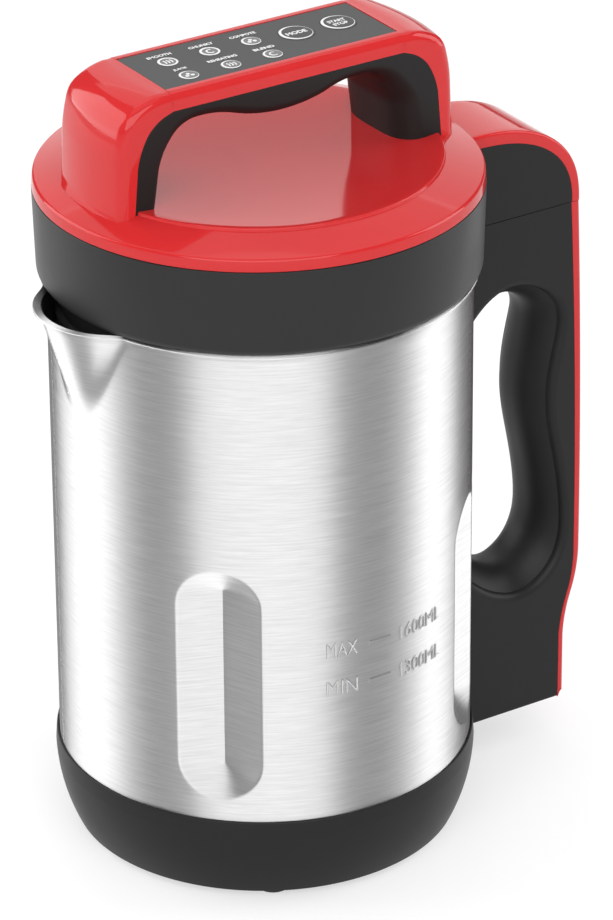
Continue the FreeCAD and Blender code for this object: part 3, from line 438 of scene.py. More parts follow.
def turned_tree():
    """Turns a profile of radius and depth about the upright axis."""
    path_radius = 0.02
    tree, given = geometry_tree("turned_piece", {"Segments": "NodeSocketInt", "Finish": "NodeSocketMaterial"})
    profile = add(tree, "GeometryNodeMeshToCurve", {"Mesh": given["Geometry"]})
    shifted = add(tree, "GeometryNodeTransform", {"Geometry": profile, "Translation": (-path_radius, 0, 0)})
    path = add(tree, "GeometryNodeCurvePrimitiveCircle", {
        "Resolution": given["Segments"], "Radius": path_radius})
    upright = add(tree, "GeometryNodeSetCurveNormal", {"Curve": path}, mode="Z_UP")
    skin = add(tree, "GeometryNodeCurveToMesh", {"Curve": upright, "Profile Curve": shifted})
    whole = add(tree, "GeometryNodeMergeByDistance", {"Geometry": skin, "Distance": 1e-6})
    return end_tree(tree, whole, given["Finish"])


def ring_tree():
    """Sets copies of one piece at even steps on a circle, each turned with its place."""
    tree, given = geometry_tree("ring_of_pieces", {
        "Count": "NodeSocketInt", "Ring Radius": "NodeSocketFloat", "First Angle": "NodeSocketFloat",
        "Finish": "NodeSocketMaterial"})
    spots = add(tree, "GeometryNodeMeshCircle", {
        "Vertices": given["Count"], "Radius": given["Ring Radius"]})
    step = maths(tree, "DIVIDE", math.tau, given["Count"])
    turn = maths(tree, "MULTIPLY", add(tree, "GeometryNodeInputIndex"), step)
    turning = add(tree, "ShaderNodeCombineXYZ", {"Z": turn})
    copies = add(tree, "GeometryNodeInstanceOnPoints", {
        "Points": spots, "Instance": given["Geometry"], "Rotation": turning})
    first = add(tree, "ShaderNodeCombineXYZ", {"Z": given["First Angle"]})
    swung = add(tree, "GeometryNodeTransform", {"Geometry": copies, "Rotation": first})
    return end_tree(tree, swung, given["Finish"])


def grown(name, mesh, tree, values, sharp=SHARP):
    """Runs a tree on a mesh and keeps the result as a plain piece."""
    seed = new_piece(name + "_seed", mesh, None)
    growth = seed.modifiers.new("growth", "NODES")
    growth.node_group = tree
    for item in tree.interface.items_tree:
        if item.in_out == "INPUT" and item.name in values:
            growth[item.identifier] = values[item.name]
    seed.update_tag()
    result = plain_mesh(seed)
    seed.modifiers.remove(growth)
    bpy.data.objects.remove(seed)
    result.name = name
    return new_piece(name, tidy(result, sharp), None)


TURNED = turned_tree()
RING_OF = ring_tree()


def turned(name, profile, finish, closed=True, segments=192, sharp=SHARP):
    """A round piece about the jug's axis from a profile of radius and height."""
    mesh = bpy.data.meshes.new(name + "_profile")
    edges = [(i, i + 1) for i in range(len(profile) - 1)]
    if closed:
        edges.append((len(profile) - 1, 0))
    mesh.from_pydata([(r * MM, -z * MM, 0) for r, z in profile], edges, [])
    return grown(name, mesh, TURNED, {"Segments": segments, "Finish": finish}, sharp)


def ring_of(name, sample, count, radius, first_angle, finish):
    """Copies of a sample piece on a circle about the jug's axis."""
    mesh = sample.data.copy()
    bpy.data.objects.remove(sample)
    return grown(name, mesh, RING_OF, {
        "Count": count, "Ring Radius": radius * MM, "First Angle": math.radians(first_angle),
        "Finish": finish})


# Finishes

GRAIN_SCALE = 2200.0
GRAIN_MAP = "round_the_jug"


def shader_group(name, inputs, outputs):
    """A group that reads a Vector and named values, and the outputs of its input node."""
    group = bpy.data.node_groups.new(name, "ShaderNodeTree")
    group.interface.new_socket("Vector", in_out="INPUT", socket_type="NodeSocketVector")
    for label, value in inputs.items():
        socket = group.interface.new_socket(label, in_out="INPUT", socket_type="NodeSocketFloat")
        socket.default_value = value
    for label in outputs:
        group.interface.new_socket(label, in_out="OUTPUT", socket_type="NodeSocketFloat")
    return group, group.nodes.new("NodeGroupInput").outputs


def brushing_group():
    """Fine lines drawn along one direction of a flat map."""
    group, given = shader_group("brushing", {"Along": 18.0, "Across": 2600.0}, ("Lines",))
    stretch = add(group, "ShaderNodeCombineXYZ", {"X": given["Along"], "Y": given["Across"], "Z": 1.0})
    drawn = add(group, "ShaderNodeVectorMath", {0: given["Vector"], 1: stretch}, operation="MULTIPLY")
    lines = add(group, "ShaderNodeTexNoise", {
        "Vector": drawn, "Scale": 1.0, "Detail": 5.0, "Roughness": 0.65})
    node(group, "NodeGroupOutput", {"Lines": lines})
    return group


def moulding_group():
    """The faint unevenness of a moulded surface: broad mottling and a fine grain."""
    group, given = shader_group("moulding", {"Mottle Scale": 35.0, "Grain Scale": GRAIN_SCALE},
                                ("Mottle", "Grain"))
    mottle = add(group, "ShaderNodeTexNoise", {
        "Vector": given["Vector"], "Scale": given["Mottle Scale"], "Detail": 3.0})
    grain = add(group, "ShaderNodeTexNoise", {
        "Vector": given["Vector"], "Scale": given["Grain Scale"], "Detail": 2.0})
    node(group, "NodeGroupOutput", {"Mottle": mottle, "Grain": grain})
    return group


BRUSHING = brushing_group()
MOULDING = moulding_group()


def new_finish(name):
    material = bpy.data.materials.new(name)
    material.use_nodes = True
    tree = material.node_tree
    return material, tree, tree.nodes["Principled BSDF"]


def blended(tree, factor, low, high):
    """Two colours mixed by a factor."""
    mix = node(tree, "ShaderNodeMix", {"Factor": factor, 6: (*low, 1), 7: (*high, 1)}, data_type="RGBA")
    return mix.outputs[2]


def ranged(tree, value, low, high):
    """A value from the middle of a noise spread over a range."""
    return add(tree, "ShaderNodeMapRange", {
        "Value": value, "From Min": 0.3, "From Max": 0.7, "To Min": low, "To Max": high})


def bumped(tree, strength, distance, height):
    return add(tree, "ShaderNodeBump", {"Strength": strength, "Distance": distance, "Height": height})


def moulded_finish(name, low, high, rough, grain=0.0, specular=0.5):
    """A moulded plastic or rubber between two close tones, with a range of roughness."""
    material, tree, shader = new_finish(name)
    places = node(tree, "ShaderNodeTexCoord").outputs["Object"]
    surface = node(tree, "ShaderNodeGroup", {"Vector": places, "Grain Scale": GRAIN_SCALE},
                   node_tree=MOULDING).outputs
    fill(tree, shader, {
        "Base Color": blended(tree, surface["Mottle"], low, high),
        "Roughness": ranged(tree, surface["Mottle"], *rough),
        "Specular IOR Level": specular})
    if grain:
        fill(tree, shader, {"Normal": bumped(tree, grain, 0.0002, surface["Grain"])})
    return material


def metal_finish(name, low, high, rough, along=18.0, across=2600.0, grain_map=None, anisotropy=0.0,
                 edge_tint=1.0):
    """A metal with drawn lines, on its own flat map or on the object's places."""
    material, tree, shader = new_finish(name)
    if grain_map:
        places = add(tree, "ShaderNodeUVMap", uv_map=grain_map)
        tangent = add(tree, "ShaderNodeTangent", direction_type="UV_MAP", uv_map=grain_map)
        fill(tree, shader, {"Tangent": tangent})
    else:
        places = node(tree, "ShaderNodeTexCoord").outputs["Object"]
    surface = node(tree, "ShaderNodeGroup", {"Vector": places, "Along": along, "Across": across},
                   node_tree=BRUSHING)
    lines = surface.outputs["Lines"]
    fill(tree, shader, {
        "Base Color": blended(tree, lines, low, high),
        "Roughness": ranged(tree, lines, *rough),
        "Metallic": 1.0,
        "Anisotropic": anisotropy,
        "Specular Tint": (*grey(edge_tint), 1),
        "Anisotropic Rotation": 0.25 if grain_map else 0.0,
        "Normal": bumped(tree, 0.12, 0.0001, lines)})
    return material


def grey(level):
    return (level, level, level)


# A metal's two tones and range of roughness.
METALS = {
    "brushed_steel": (grey(0.58), (0.76, 0.76, 0.75), (0.22, 0.36)),
    "plain_steel": (grey(0.52), grey(0.66), (0.18, 0.30)),
    "aluminium": ((0.62, 0.62, 0.63), (0.78, 0.78, 0.80), (0.30, 0.45)),
    "brass": ((0.60, 0.42, 0.16), (0.74, 0.56, 0.26), (0.24, 0.36)),
    "iron": ((0.16, 0.16, 0.17), (0.24, 0.24, 0.25), (0.45, 0.6)),
}
# A moulding's two tones and range of roughness, and where it has them its grain and its gloss.
MOULDINGS = {
    "black_satin": (grey(0.016), grey(0.020), (0.36, 0.44), 0.05, 0.28),
    "base_black": (grey(0.014), grey(0.018), (0.38, 0.46), 0.05, 0.18),
    "black_matte": (grey(0.011), grey(0.014), (0.42, 0.50), 0.08, 0.22),
    "red_gloss": ((0.57, 0.024, 0.026), (0.63, 0.028, 0.030), (0.06, 0.09), 0.0, 0.3),
    "panel_grey": ((0.085, 0.086, 0.086), (0.098, 0.099, 0.099), (0.40, 0.48), 0.04, 0.06),
    "lens_clear": (grey(0.10), grey(0.13), (0.16, 0.24)),
    "rubber": (grey(0.020), grey(0.030), (0.60, 0.75), 0.1),
    "cable_sheath": (grey(0.03), grey(0.045), (0.45, 0.6)),
    "moulded_inner": ((0.50, 0.48, 0.42), (0.58, 0.56, 0.50), (0.5, 0.62)),
    "board_green": ((0.02, 0.12, 0.05), (0.03, 0.17, 0.07), (0.35, 0.5)),
    "print_white": (grey(0.76), grey(0.86), (0.45, 0.55)),
}
FINISHES = {name: metal_finish(name, *look) for name, look in METALS.items()}
FINISHES |= {name: moulded_finish(name, *look) for name, look in MOULDINGS.items()}
FINISHES["jug_steel"] = metal_finish(
    "jug_steel", grey(0.62), grey(1.0), (0.56, 0.62), along=55.0, across=1300.0, grain_map=GRAIN_MAP,
    anisotropy=1.0, edge_tint=0.0)


def dress(piece, body, slot, *nodes):
    """Let a finished piece ride on its body and stand for its nodes."""
    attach(piece, body)
    if nodes:
        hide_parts(*nodes)
    return piece


# Steel jug

def smooth_max(a, b, reach):
    gap = np.maximum(reach - np.abs(a - b), 0) / reach
    return np.maximum(a, b) + gap * gap * reach / 4


def wall_radius(turns, z):
    """The jug's outer radius without its hollows: a round wall that swells into the pouring lip."""
    off = np.radians(turns - SPOUT_TURN)
    cone = SPOUT_RADIUS * max(z - SPOUT_FOOT, 0) / (SPOUT_HEAD - SPOUT_FOOT)
    reach = SPOUT_AXIS * np.cos(off) + np.sqrt(np.maximum(cone ** 2 - (SPOUT_AXIS * np.sin(off)) ** 2, 0))
    return smooth_max(reach, JUG_RADIUS, np.interp(z, (SPOUT_START, SPOUT_HEAD), SPOUT_BLEND))


def jug_columns():
    """The turns of the wall's upright lines, close together at the lip and the hollows."""
    wall_step, lip_step, hollow_step = 2.5, 0.5, 1.25
    lip_span = 24.0
    turns = {round(float(turn), 3) for turn in np.arange(0, 360, wall_step)}
    fields = [(SPOUT_TURN, lip_span, lip_step)] + [(turn, RECESS_SPAN, hollow_step) for turn in RECESS_TURNS]
    for middle, span, step in fields:
        turns = {turn for turn in turns if abs(turn - middle) > span}
        turns |= {round(float(turn), 3) for turn in middle + np.arange(-span, span + step / 2, step)}
    return np.array(sorted(turns))


def jug_rows():
    """The heights of the wall's level lines."""
    low, high = RECESS_FIELD
    stops = ((WALL_FOOT, low, 5), (low, high, 58), (high, SPOUT_START, 9), (SPOUT_START, WALL_HEAD, 52))
    return np.concatenate([[WALL_FOOT], *[np.linspace(a, b, count + 1)[1:] for a, b, count in stops]])


# The flat rim: how far out from the wall, and the height.
RIM_FLANGE = [(0.15, 227.75), (0.5, 228.0), (1.9, 228.1), (2.2, 228.3), (2.2, 228.75), (1.95, 229.0),
              (-0.3, 229.0), (-0.8, 228.8), (-1.0, 228.3)]
# The rings round a hollow: how far outside its rim they lie, and then their share of the way from its spine.
RIM_RINGS = (3.2, 1.6, 0.9, 0.5, 0.2, -0.1, -0.4, -0.8, -1.5)
RIM_ROOM = 3.6
FLOOR_RINGS = (0.8, 0.6, 0.4, 0.2, 0.08, 0.03)
NEAR = 0.01


def level_line(radius, turns):
    """Level points at a radius about the jug's axis, one for each turn."""
    return np.column_stack([radius * np.cos(np.radians(turns)), radius * np.sin(np.radians(turns))])


def outward(line):
    """The level outward directions of a closed level line."""
    along = np.roll(line, -1, axis=0) - np.roll(line, 1, axis=0)
    along /= np.linalg.norm(along, axis=1)[:, None]
    return np.column_stack([along[:, 1], -along[:, 0]])


def recess_height(y, z, wall_gap=0.0):
    """How far from the jug's axis the hollow's floor lies: two slopes to a valley, and steeper round ends."""
    beyond = np.maximum(np.maximum(RECESS_STRAIGHT[0] - z, z - RECESS_STRAIGHT[1]), 0)
    inside = 1 - np.hypot(y / RECESS_HALF, beyond / RECESS_END)
    sides = RECESS_APEX + RECESS_SLOPE * np.abs(y)
    ends = np.sqrt(JUG_RADIUS ** 2 - y ** 2) - RECESS_END_DEPTH * inside
    return smooth_max(sides, ends, RECESS_EDGE) - RECESS_LEAN * wall_gap


def recess_rim(spine, y_way, z_way):
    """How far from the hollow's spine its rim lies, in one direction."""
    low, high = 0.0, 30.0
    halvings = 40
    for _ in range(halvings):
        reach = (low + high) / 2
        y = reach * y_way
        if recess_height(y, spine + reach * z_way) < math.sqrt(JUG_RADIUS ** 2 - y ** 2):
            low = reach
        else:
            high = reach
    return low


def hollow_surface(y, z, wall_gap):
    """How far out along the hollow's direction the jug's surface lies: wall or floor, with a soft rim."""
    wall = np.sqrt((JUG_RADIUS - wall_gap) ** 2 - y ** 2)
    floor = recess_height(y, z, wall_gap)
    return -smooth_max(-wall, -floor, RECESS_EDGE)


class JugMesh:
    """The points and faces of the jug, with the turn and height of each point for its grain map."""

    def __init__(self):
        self.points = []
        self.places = []
        self.faces = []

    def put(self, point, turn, level):
        self.points.append(tuple(float(x) * MM for x in point))
        self.places.append((math.radians(turn) * JUG_RADIUS * MM, level * MM))
        return len(self.points) - 1


def jug_skin(jug, columns, rows, wall_gap):
    """One skin of the jug, outer or inner, as a grid with its hollows. Gives its top and bottom lines."""
    grid = {}
    inner_span = RECESS_SPAN - 0.1
    in_field = [min(abs(turn - middle) for middle in RECESS_TURNS) < inner_span for turn in columns]
    low, high = RECESS_FIELD
    for row, z in enumerate(rows):
        line = level_line(wall_radius(columns, z), columns)
        line = line - outward(line) * wall_gap
        for column, turn in enumerate(columns):
            if not (in_field[column] and low + NEAR < z < high - NEAR):
                grid[column, row] = jug.put((*line[column], z), turn, z)
    count = len(columns)
    for row in range(len(rows) - 1):
        for column in range(count):
            after = (column + 1) % count
            corners = [(column, row), (after, row), (after, row + 1), (column, row + 1)]
            if all(corner in grid for corner in corners):
                middle = (columns[column] + columns[after]) / 2
                inside = min(abs(middle - turn) for turn in RECESS_TURNS) < RECESS_SPAN
                if not (inside and after and low - NEAR < (rows[row] + rows[row + 1]) / 2 < high + NEAR):
                    jug.faces.append(tuple(grid[corner] for corner in corners))
    for turn in RECESS_TURNS:
        hollow_patch(jug, grid, columns, rows, turn, wall_gap)
    return [[grid[column, row] for column in range(count)] for row in (len(rows) - 1, 0)]


def hollow_patch(jug, grid, columns, rows, turn, wall_gap):
    """Fills one field of the grid with rings that run down into the hollow."""
    low, high = RECESS_FIELD
    across = [i for i, t in enumerate(columns) if abs(t - turn) <= RECESS_SPAN + NEAR]
    levels = [j for j, z in enumerate(rows) if low - NEAR <= z <= high + NEAR]
    border = [(i, levels[0]) for i in across]
    border += [(across[-1], j) for j in levels[1:]]
    border += [(i, levels[-1]) for i in reversed(across[:-1])]
    border += [(across[0], j) for j in reversed(levels[1:-1])]
    ahead = np.array([math.cos(math.radians(turn)), math.sin(math.radians(turn))])
    side = np.array([-ahead[1], ahead[0]])
    rays = []
    for corner in border:
        point = np.array(jug.points[grid[corner]]) / MM
        y = point[:2] @ side
        z = point[2]
        spine = min(max(z, RECESS_LOW), RECESS_HIGH)
        reach = math.hypot(y, z - spine)
        way = (y / reach, (z - spine) / reach)
        rays.append((spine, way, reach, recess_rim(spine, *way)))

    def near_rim(rim, reach, size):
        return min(rim + size, rim + (reach - rim) * size / RIM_ROOM) if size > 0 else rim + size

    distances = [[near_rim(rim, reach, size) for _, _, reach, rim in rays] for size in RIM_RINGS]
    distances += [[rim * share for _, _, _, rim in rays] for share in FLOOR_RINGS]
    rings = [[grid[corner] for corner in border]]
    for distance in distances:
        ring = []
        for (spine, way, _, _), away in zip(rays, distance):
            y = way[0] * away
            z = spine + way[1] * away
            x = float(hollow_surface(y, z, wall_gap))
            spot = ahead * x + side * y
            ring.append(jug.put((*spot, z), turn + math.degrees(math.atan2(y, x)), z))
        rings.append(ring)
    crease = []
    for spine, _, _, _ in rays:
        spot = ahead * float(recess_height(0.0, spine, wall_gap))
        crease.append(jug.put((*spot, spine), turn, spine))
    jug.faces += stitched([*rings, crease])


def jug_shell():
    jug = JugMesh()
    columns = jug_columns()
    rows = jug_rows()
    outer_top, outer_foot = jug_skin(jug, columns, rows, 0.0)
    inner_top, inner_foot = jug_skin(jug, columns, rows, JUG_WALL)

    def put_line(line, z, level):
        return [jug.put((*spot, z), turn, level) for spot, turn in zip(line, columns)]

    head = level_line(wall_radius(columns, WALL_HEAD), columns)
    flange = [put_line(head + outward(head) * depth, z, z + depth) for depth, z in RIM_FLANGE]

    def floor_lines(foot, gap):
        lines = [foot]
        corner = WALL_FOOT - JUG_FOOT - gap
        for turn in (30, 60, 90):
            back = corner * (1 - math.cos(math.radians(turn)))
            z = WALL_FOOT - corner * math.sin(math.radians(turn))
            lines.append(put_line(level_line(JUG_RADIUS - gap - back, columns), z, z))
        for radius in (60.0, 40.0, 20.0, 6.0):
            lines.append(put_line(level_line(radius, columns), JUG_FOOT + gap, radius - JUG_RADIUS))
        return lines

    floors = [floor_lines(outer_foot, 0.0), floor_lines(inner_foot, JUG_WALL)]
    for lines in ([outer_top, *flange, inner_top], *floors):
        jug.faces += stitched(lines)
    jug.faces += [tuple(lines[-1]) for lines in floors]

    mesh = bpy.data.meshes.new("jug_wall")
    mesh.from_pydata(jug.points, [], jug.faces)
    grain_from_places(mesh, jug.places)
    return new_piece("jug_wall", tidy(mesh, 30.0), FINISHES["jug_steel"])


def grain_from_places(mesh, places):
    """The flat map of the brushing: along the wall's round, and its height."""
    grain = mesh.uv_layers.new(name=GRAIN_MAP)
    round_length = math.tau * JUG_RADIUS * MM
    for face in mesh.polygons:
        spots = [places[mesh.loops[k].vertex_index] for k in face.loop_indices]
        furthest = max(spot[0] for spot in spots)
        for k, (u, v) in zip(face.loop_indices, spots):
            if furthest - u > round_length / 2:
                u += round_length
            grain.data[k].uv = (u, v)


def text_mesh(words, size, thick, weight=0.0, slope=0.0):
    """Raised letters, flat on the ground, about the middle of the words, with upright or sloping sides."""
    curve = bpy.data.curves.new("letters", "FONT")
    curve.body = words
    curve.size = size
    curve.extrude = thick / 2
    curve.offset = weight
    curve.bevel_depth = slope
    curve.bevel_resolution = 1
    curve.align_x = "CENTER"
    curve.align_y = "CENTER"
    curve.resolution_u = 3
    letters = linked("letters", curve)
    mesh = plain_mesh(letters)
    bpy.data.objects.remove(letters)
    bpy.data.curves.remove(curve)
    return mesh


def fitted(mesh, width, height):
    """Flat letters drawn out to a width and a height about their middle."""
    spots = np.array([vertex.co[:2] for vertex in mesh.vertices])
    low, high = spots.min(axis=0), spots.max(axis=0)
    middle = (low + high) / 2
    wide, tall = (width, height) / (high - low)
    mesh.transform(Matrix.Diagonal((wide, tall, 1, 1)) @ Matrix.Translation((-middle[0], -middle[1], 0)))
    return mesh


def flat_strip(points, width, thick, head=1.0):
    """A raised line along flat points, with one width or a width for each, and narrower at its head."""
    line = np.array(points, float)
    along = np.gradient(line, axis=0)
    along /= np.linalg.norm(along, axis=1)[:, None]
    widths = np.broadcast_to(np.asarray(width, float), (len(line),))
    side = np.column_stack([-along[:, 1], along[:, 0]]) * widths[:, None] / 2
    corners = ((-1, -thick / 2), (1, -thick / 2), (head, thick / 2), (-head, thick / 2))
    spots = [(*(here + off * way), level) for here, off in zip(line, side) for way, level in corners]
    numbers = [range(k, k + 4) for k in range(0, len(spots), 4)]
    mesh = bpy.data.meshes.new("strip")
    mesh.from_pydata(spots, [], stitched(numbers) + [tuple(numbers[0]), tuple(numbers[-1])])
    return mesh


def gathered(name, meshes, finish, to_space):
    """Several flat meshes, each with its place, as one piece. Lengths in the meshes are millimetres."""
    longest_edge = 2.0
    sharp = 30
    work = bmesh.new()
    for mesh, (x, y) in meshes:
        mesh.transform(Matrix.Translation((x, y, 0)))
        work.from_mesh(mesh)
        bpy.data.meshes.remove(mesh)
    long_edges = [edge for edge in work.edges if edge.calc_length() > longest_edge]
    bmesh.ops.subdivide_edges(work, edges=long_edges, cuts=1)
    for vertex in work.verts:
        vertex.co = Vector(to_space(*vertex.co)) * MM
    mesh = bpy.data.meshes.new(name)
    bmesh.ops.recalc_face_normals(work, faces=work.faces)
    work.to_mesh(mesh)
    work.free()
    mesh.set_sharp_from_angle(angle=math.radians(sharp))
    return new_piece(name, mesh, finish)


def level_marks():
    """The filling marks pressed out of the wall: a word, a line with a tick and a number for each level."""
    height = 0.1
    slope = 0.3
    size = 7.6
    cap = 5.9
    thin = -0.28
    middle_turn = 270.0
    meshes = []
    for level, word, number in ((107.0, "MAX", "1600ML"), (91.2, "MIN", "1300ML")):
        for words, width, along in ((word, 12.4, -15.1), (number, 22.3, 21.1)):
            letters = fitted(text_mesh(words, size, height, thin, slope), width, cap)
            meshes.append((letters, (along, level - 0.2)))
        line = [(-3.8, level - 1.4), (-3.8, level), (5.4, level)]
        meshes.append((flat_strip(line, 1.3, 2 * slope + height, 0.1), (0, 0)))

    def on_wall(along, level, lift):
        turn = math.radians(middle_turn) + along / JUG_RADIUS
        radius = JUG_RADIUS + lift + slope * 0.6
        return (radius * math.cos(turn), radius * math.sin(turn), level)

    marks = gathered("level_marks", meshes, FINISHES["jug_steel"], on_wall)
    places = []
    for vertex in marks.data.vertices:
        turn = math.atan2(vertex.co.y, vertex.co.x) % math.tau
        places.append((turn * JUG_RADIUS * MM, vertex.co.z))
    grain_from_places(marks.data, places)
    return marks


def heated_base():
    side = trace([(73.8, 3.4), Arc((78.7, 17.5), (80.5, 31.0))], 1.2)
    lip = filleted([(80.5, 31.0, 0), (80.1, 36.8, 0.7), (79.3, 36.8, 0.2), (79.3, 25.0, 0)])
    inside = [(77.2, 22.2), (70.0, 22.2), (70.0, 20.0), (75.8, 20.0), (71.3, 5.8), (71.3, 3.4), (73.2, 3.1)]
    cup = turned("base_bowl", np.vstack([side, lip[1:], inside]), FINISHES["base_black"])
    dress(cup, "jug", "black_satin", "base_cup")
    sole = filleted([(0, 0, 0), (6.2, 0, 0.5), (7.0, 1.2, 0.6), (7.0, 3.4, 0), (0, 3.4, 0)])
    foot = turned("foot_sample", sole, FINISHES["rubber"], closed=False, segments=32)
    feet = ring_of("rubber_feet", foot, 3, 63.5, 0.0, FINISHES["rubber"])
    dress(feet, "jug", "rubber", "foot_pads")


# Rear handle

OPENING_SIDE = [(74.0, 172.2), (83.0, 186.6), (97.4, 197.8), (111.8, 196.6), (123.6, 185.0), (122.4, 166.9),
                (119.6, 144.5), (123.0, 123.6), (126.7, 99.7), (122.6, 76.2), (108.3, 66.9), (89.5, 74.0),
                (74.0, 93.5)]
OPENING_MIDDLE = [(74.0, 166.5), (84.9, 181.4), (97.6, 191.6), (109.0, 190.6), (116.9, 181.4), (115.9, 166.5),
                  (113.2, 144.4), (116.4, 122.8), (120.0, 100.4), (116.9, 82.9), (106.6, 75.4), (92.4, 81.4),
                  (74.0, 102.0)]
BACK_INNER = [(125.8, HANDLE_FOOT), (125.8, 43.0), Arc((127.0, 51.5), (129.4, 60.3)),
              Arc((131.3, 67.6), (132.3, 80.0)), Arc((131.4, 152.0), (128.3, HANDLE_TOP))]
BACK_OUTER = [(128.7, HANDLE_FOOT), (128.7, 42.5), Arc((129.8, 51.5), (132.1, 60.0)),
              Arc((134.2, 67.4), (135.55, 80.0)), Arc((134.95, 150.0), (132.5, HANDLE_TOP))]


def jug_gap(z):
    """The radius that the handle keeps clear of: the jug's wall, and the wider base below it."""
    return 80.75 if z < 37.0 else 79.12


def edged(stretches):
    """An outline of several stretches, the handle's half width and the edge radius of each point."""
    outline = np.vstack([line for line, _ in stretches])
    return outline, HANDLE_HALF, np.concatenate([np.full(len(line), radius) for line, radius in stretches])


def opening_lines(count):
    """The finger opening's line on the handle's side and on its middle plane, paired point by point."""
    side = np.array(OPENING_SIDE + OPENING_SIDE[:1])
    knots = np.concatenate([[0], np.cumsum(np.linalg.norm(np.diff(side, axis=0), axis=1))])
    spots = np.linspace(0, knots[-2], count)
    return ring_spline(OPENING_SIDE, knots, spots), ring_spline(OPENING_MIDDLE, knots, spots)


def rear_handle():
    front = 76.6
    lining_front = 75.5
    lining_fullness = 2.6
    sunk = 0.4
    side, middle = opening_lines(170)
    seen = np.nonzero(side[:, 0] >= front)[0]
    run = side[seen[0]:seen[-1] + 1]
    back = trace(BACK_INNER, 2.0)
    front_high = np.linspace((front, HANDLE_TOP), (front, run[0][1] + 1), 6)
    front_low = np.linspace((front, run[-1][1] - 1), (front, HANDLE_FOOT), 8)
    foot = np.linspace((front, HANDLE_FOOT), back[0], 8)[1:]
    top = np.linspace(back[-1], (front, HANDLE_TOP), 8)[1:-1]
    stretches = ((front_high, 0.1), (run, HANDLE_LIP), (front_low, 0.1), (foot, 1.2), (back[1:], 0.25),
                 (top, 0.2))
    keep_out = wall_round(jug_gap)
    shell = slab("handle_body", *edged(stretches), FINISHES["black_matte"], keep_out)
    dress(shell, "jug", "black_matte", "handle_shell")

    rings = []
    seen = np.nonzero(side[:, 0] >= lining_front)[0]
    for k in range(seen[0], seen[-1] + 1):
        start = side[k] + unit(side[k] - middle[k]) * sunk
        shares = np.linspace(-1, 1, 41)
        spots = [start + (middle[k] - start) * (1 - abs(share) ** lining_fullness) for share in shares]
        ring = [(spot[0], share * LINING_HALF, spot[1]) for spot, share in zip(spots, shares)]
        ring += [(start[0], share * LINING_HALF, start[1]) for share in np.linspace(1, -1, 21)[1:-1]]
        rings.append([keep_out(point) for point in ring])
    lining = lofted("handle_lining", rings, FINISHES["black_matte"])
    dress(lining, "jug", "black_matte", "handle_grip")


def handle_strip():
    """The red strip down the handle's back, with a slanted foot and a window for the mains inlet."""
    counts = (40, 10, 10, 60)
    inner = stations([BACK_INNER[:2], *[[leg] for leg in BACK_INNER[2:]]], counts)
    outer = stations([BACK_OUTER[:2], *[[leg] for leg in BACK_OUTER[2:]]], counts)
    low, high, half = 20.5, 42.0, 14.0
    slant = 2.2
    edge = 1.9
    red = FINISHES["red_gloss"]

    def between(bottom, top):
        levels = [bottom, *[z for z in inner[:, 1] if bottom + 0.2 < z < top - 0.2], top]
        inside = np.array([(np.interp(z, inner[:, 1], inner[:, 0]), z) for z in levels])
        outside = np.array([(np.interp(z, outer[:, 1], outer[:, 0]), z) for z in levels])
        share = np.clip((inside[:, 1] - HANDLE_FOOT) / slant, 0.15, 1)
        outside[:, 0] = inside[:, 0] + (outside[:, 0] - inside[:, 0]) * share
        return inside, outside

    pieces = [band("strip_high", *between(high, HANDLE_TOP), HANDLE_HALF, edge, red),
              band("strip_low", *between(HANDLE_FOOT, low), HANDLE_HALF, edge, red)]
    leg = (HANDLE_HALF - half) / 2
    for way in (-1, 1):
        pieces.append(band("strip_leg", *between(low, high), leg, edge, red, middle=way * (half + leg)))
    dress(joined("handle_back_strip", pieces), "jug", "red_gloss", "handle_strip")


# Lid

def lid_shells():
    plug = filleted([(15.0, 211.0, 0), (75.5, 211.0, 1.2), (75.5, LID_SEAT, 0.4),
                     (COLLAR_FOOT, LID_SEAT, 3.6), (COLLAR_HEAD, LID_EDGE, 0.25), (80.8, LID_EDGE, 0),
                     (79.8, 232.0, 0), (72.9, 232.0, 0), (72.9, 213.5, 0), (15.0, 213.5, 0)], closed=True)
    collar = turned("lid_collar", plug, FINISHES["black_satin"], segments=224)
    dress(collar, "lid", "black_satin", "lid_housing")

    dish_edge = CROWN_RADIUS - 0.6
    red_foot = LID_EDGE + 0.1
    dish = np.linspace(0, 1, 28)
    crown = np.column_stack([dish * dish_edge, CROWN_DISH + (CROWN_EDGE - CROWN_DISH) * dish ** 2])
    rim = filleted([(dish_edge, CROWN_EDGE, 0), (CROWN_RADIUS + 0.2, CROWN_EDGE - 0.05, 0.4),
                    (CROWN_RADIUS + 0.3, CROWN_EDGE - 1.2, 0.15), (CROWN_RADIUS + 0.8, CROWN_EDGE - 1.3, 0.2),
                    (COLLAR_HEAD - 0.5, RIM_TOP, 1.3), (COLLAR_HEAD, red_foot, 0.5), (80.3, red_foot, 0),
                    (80.3, 256.5, 0), (79.2, 256.5, 0), (79.2, 265.2, 0), (67.9, 270.8, 0),
                    (0, CROWN_DISH - 2.4, 0)])
    cover = turned("lid_top", np.vstack([crown[:-1], rim]), FINISHES["red_gloss"], closed=False, segments=224,
                   sharp=25.0)
    dress(cover, "lid", "red_gloss", "lid_cover")


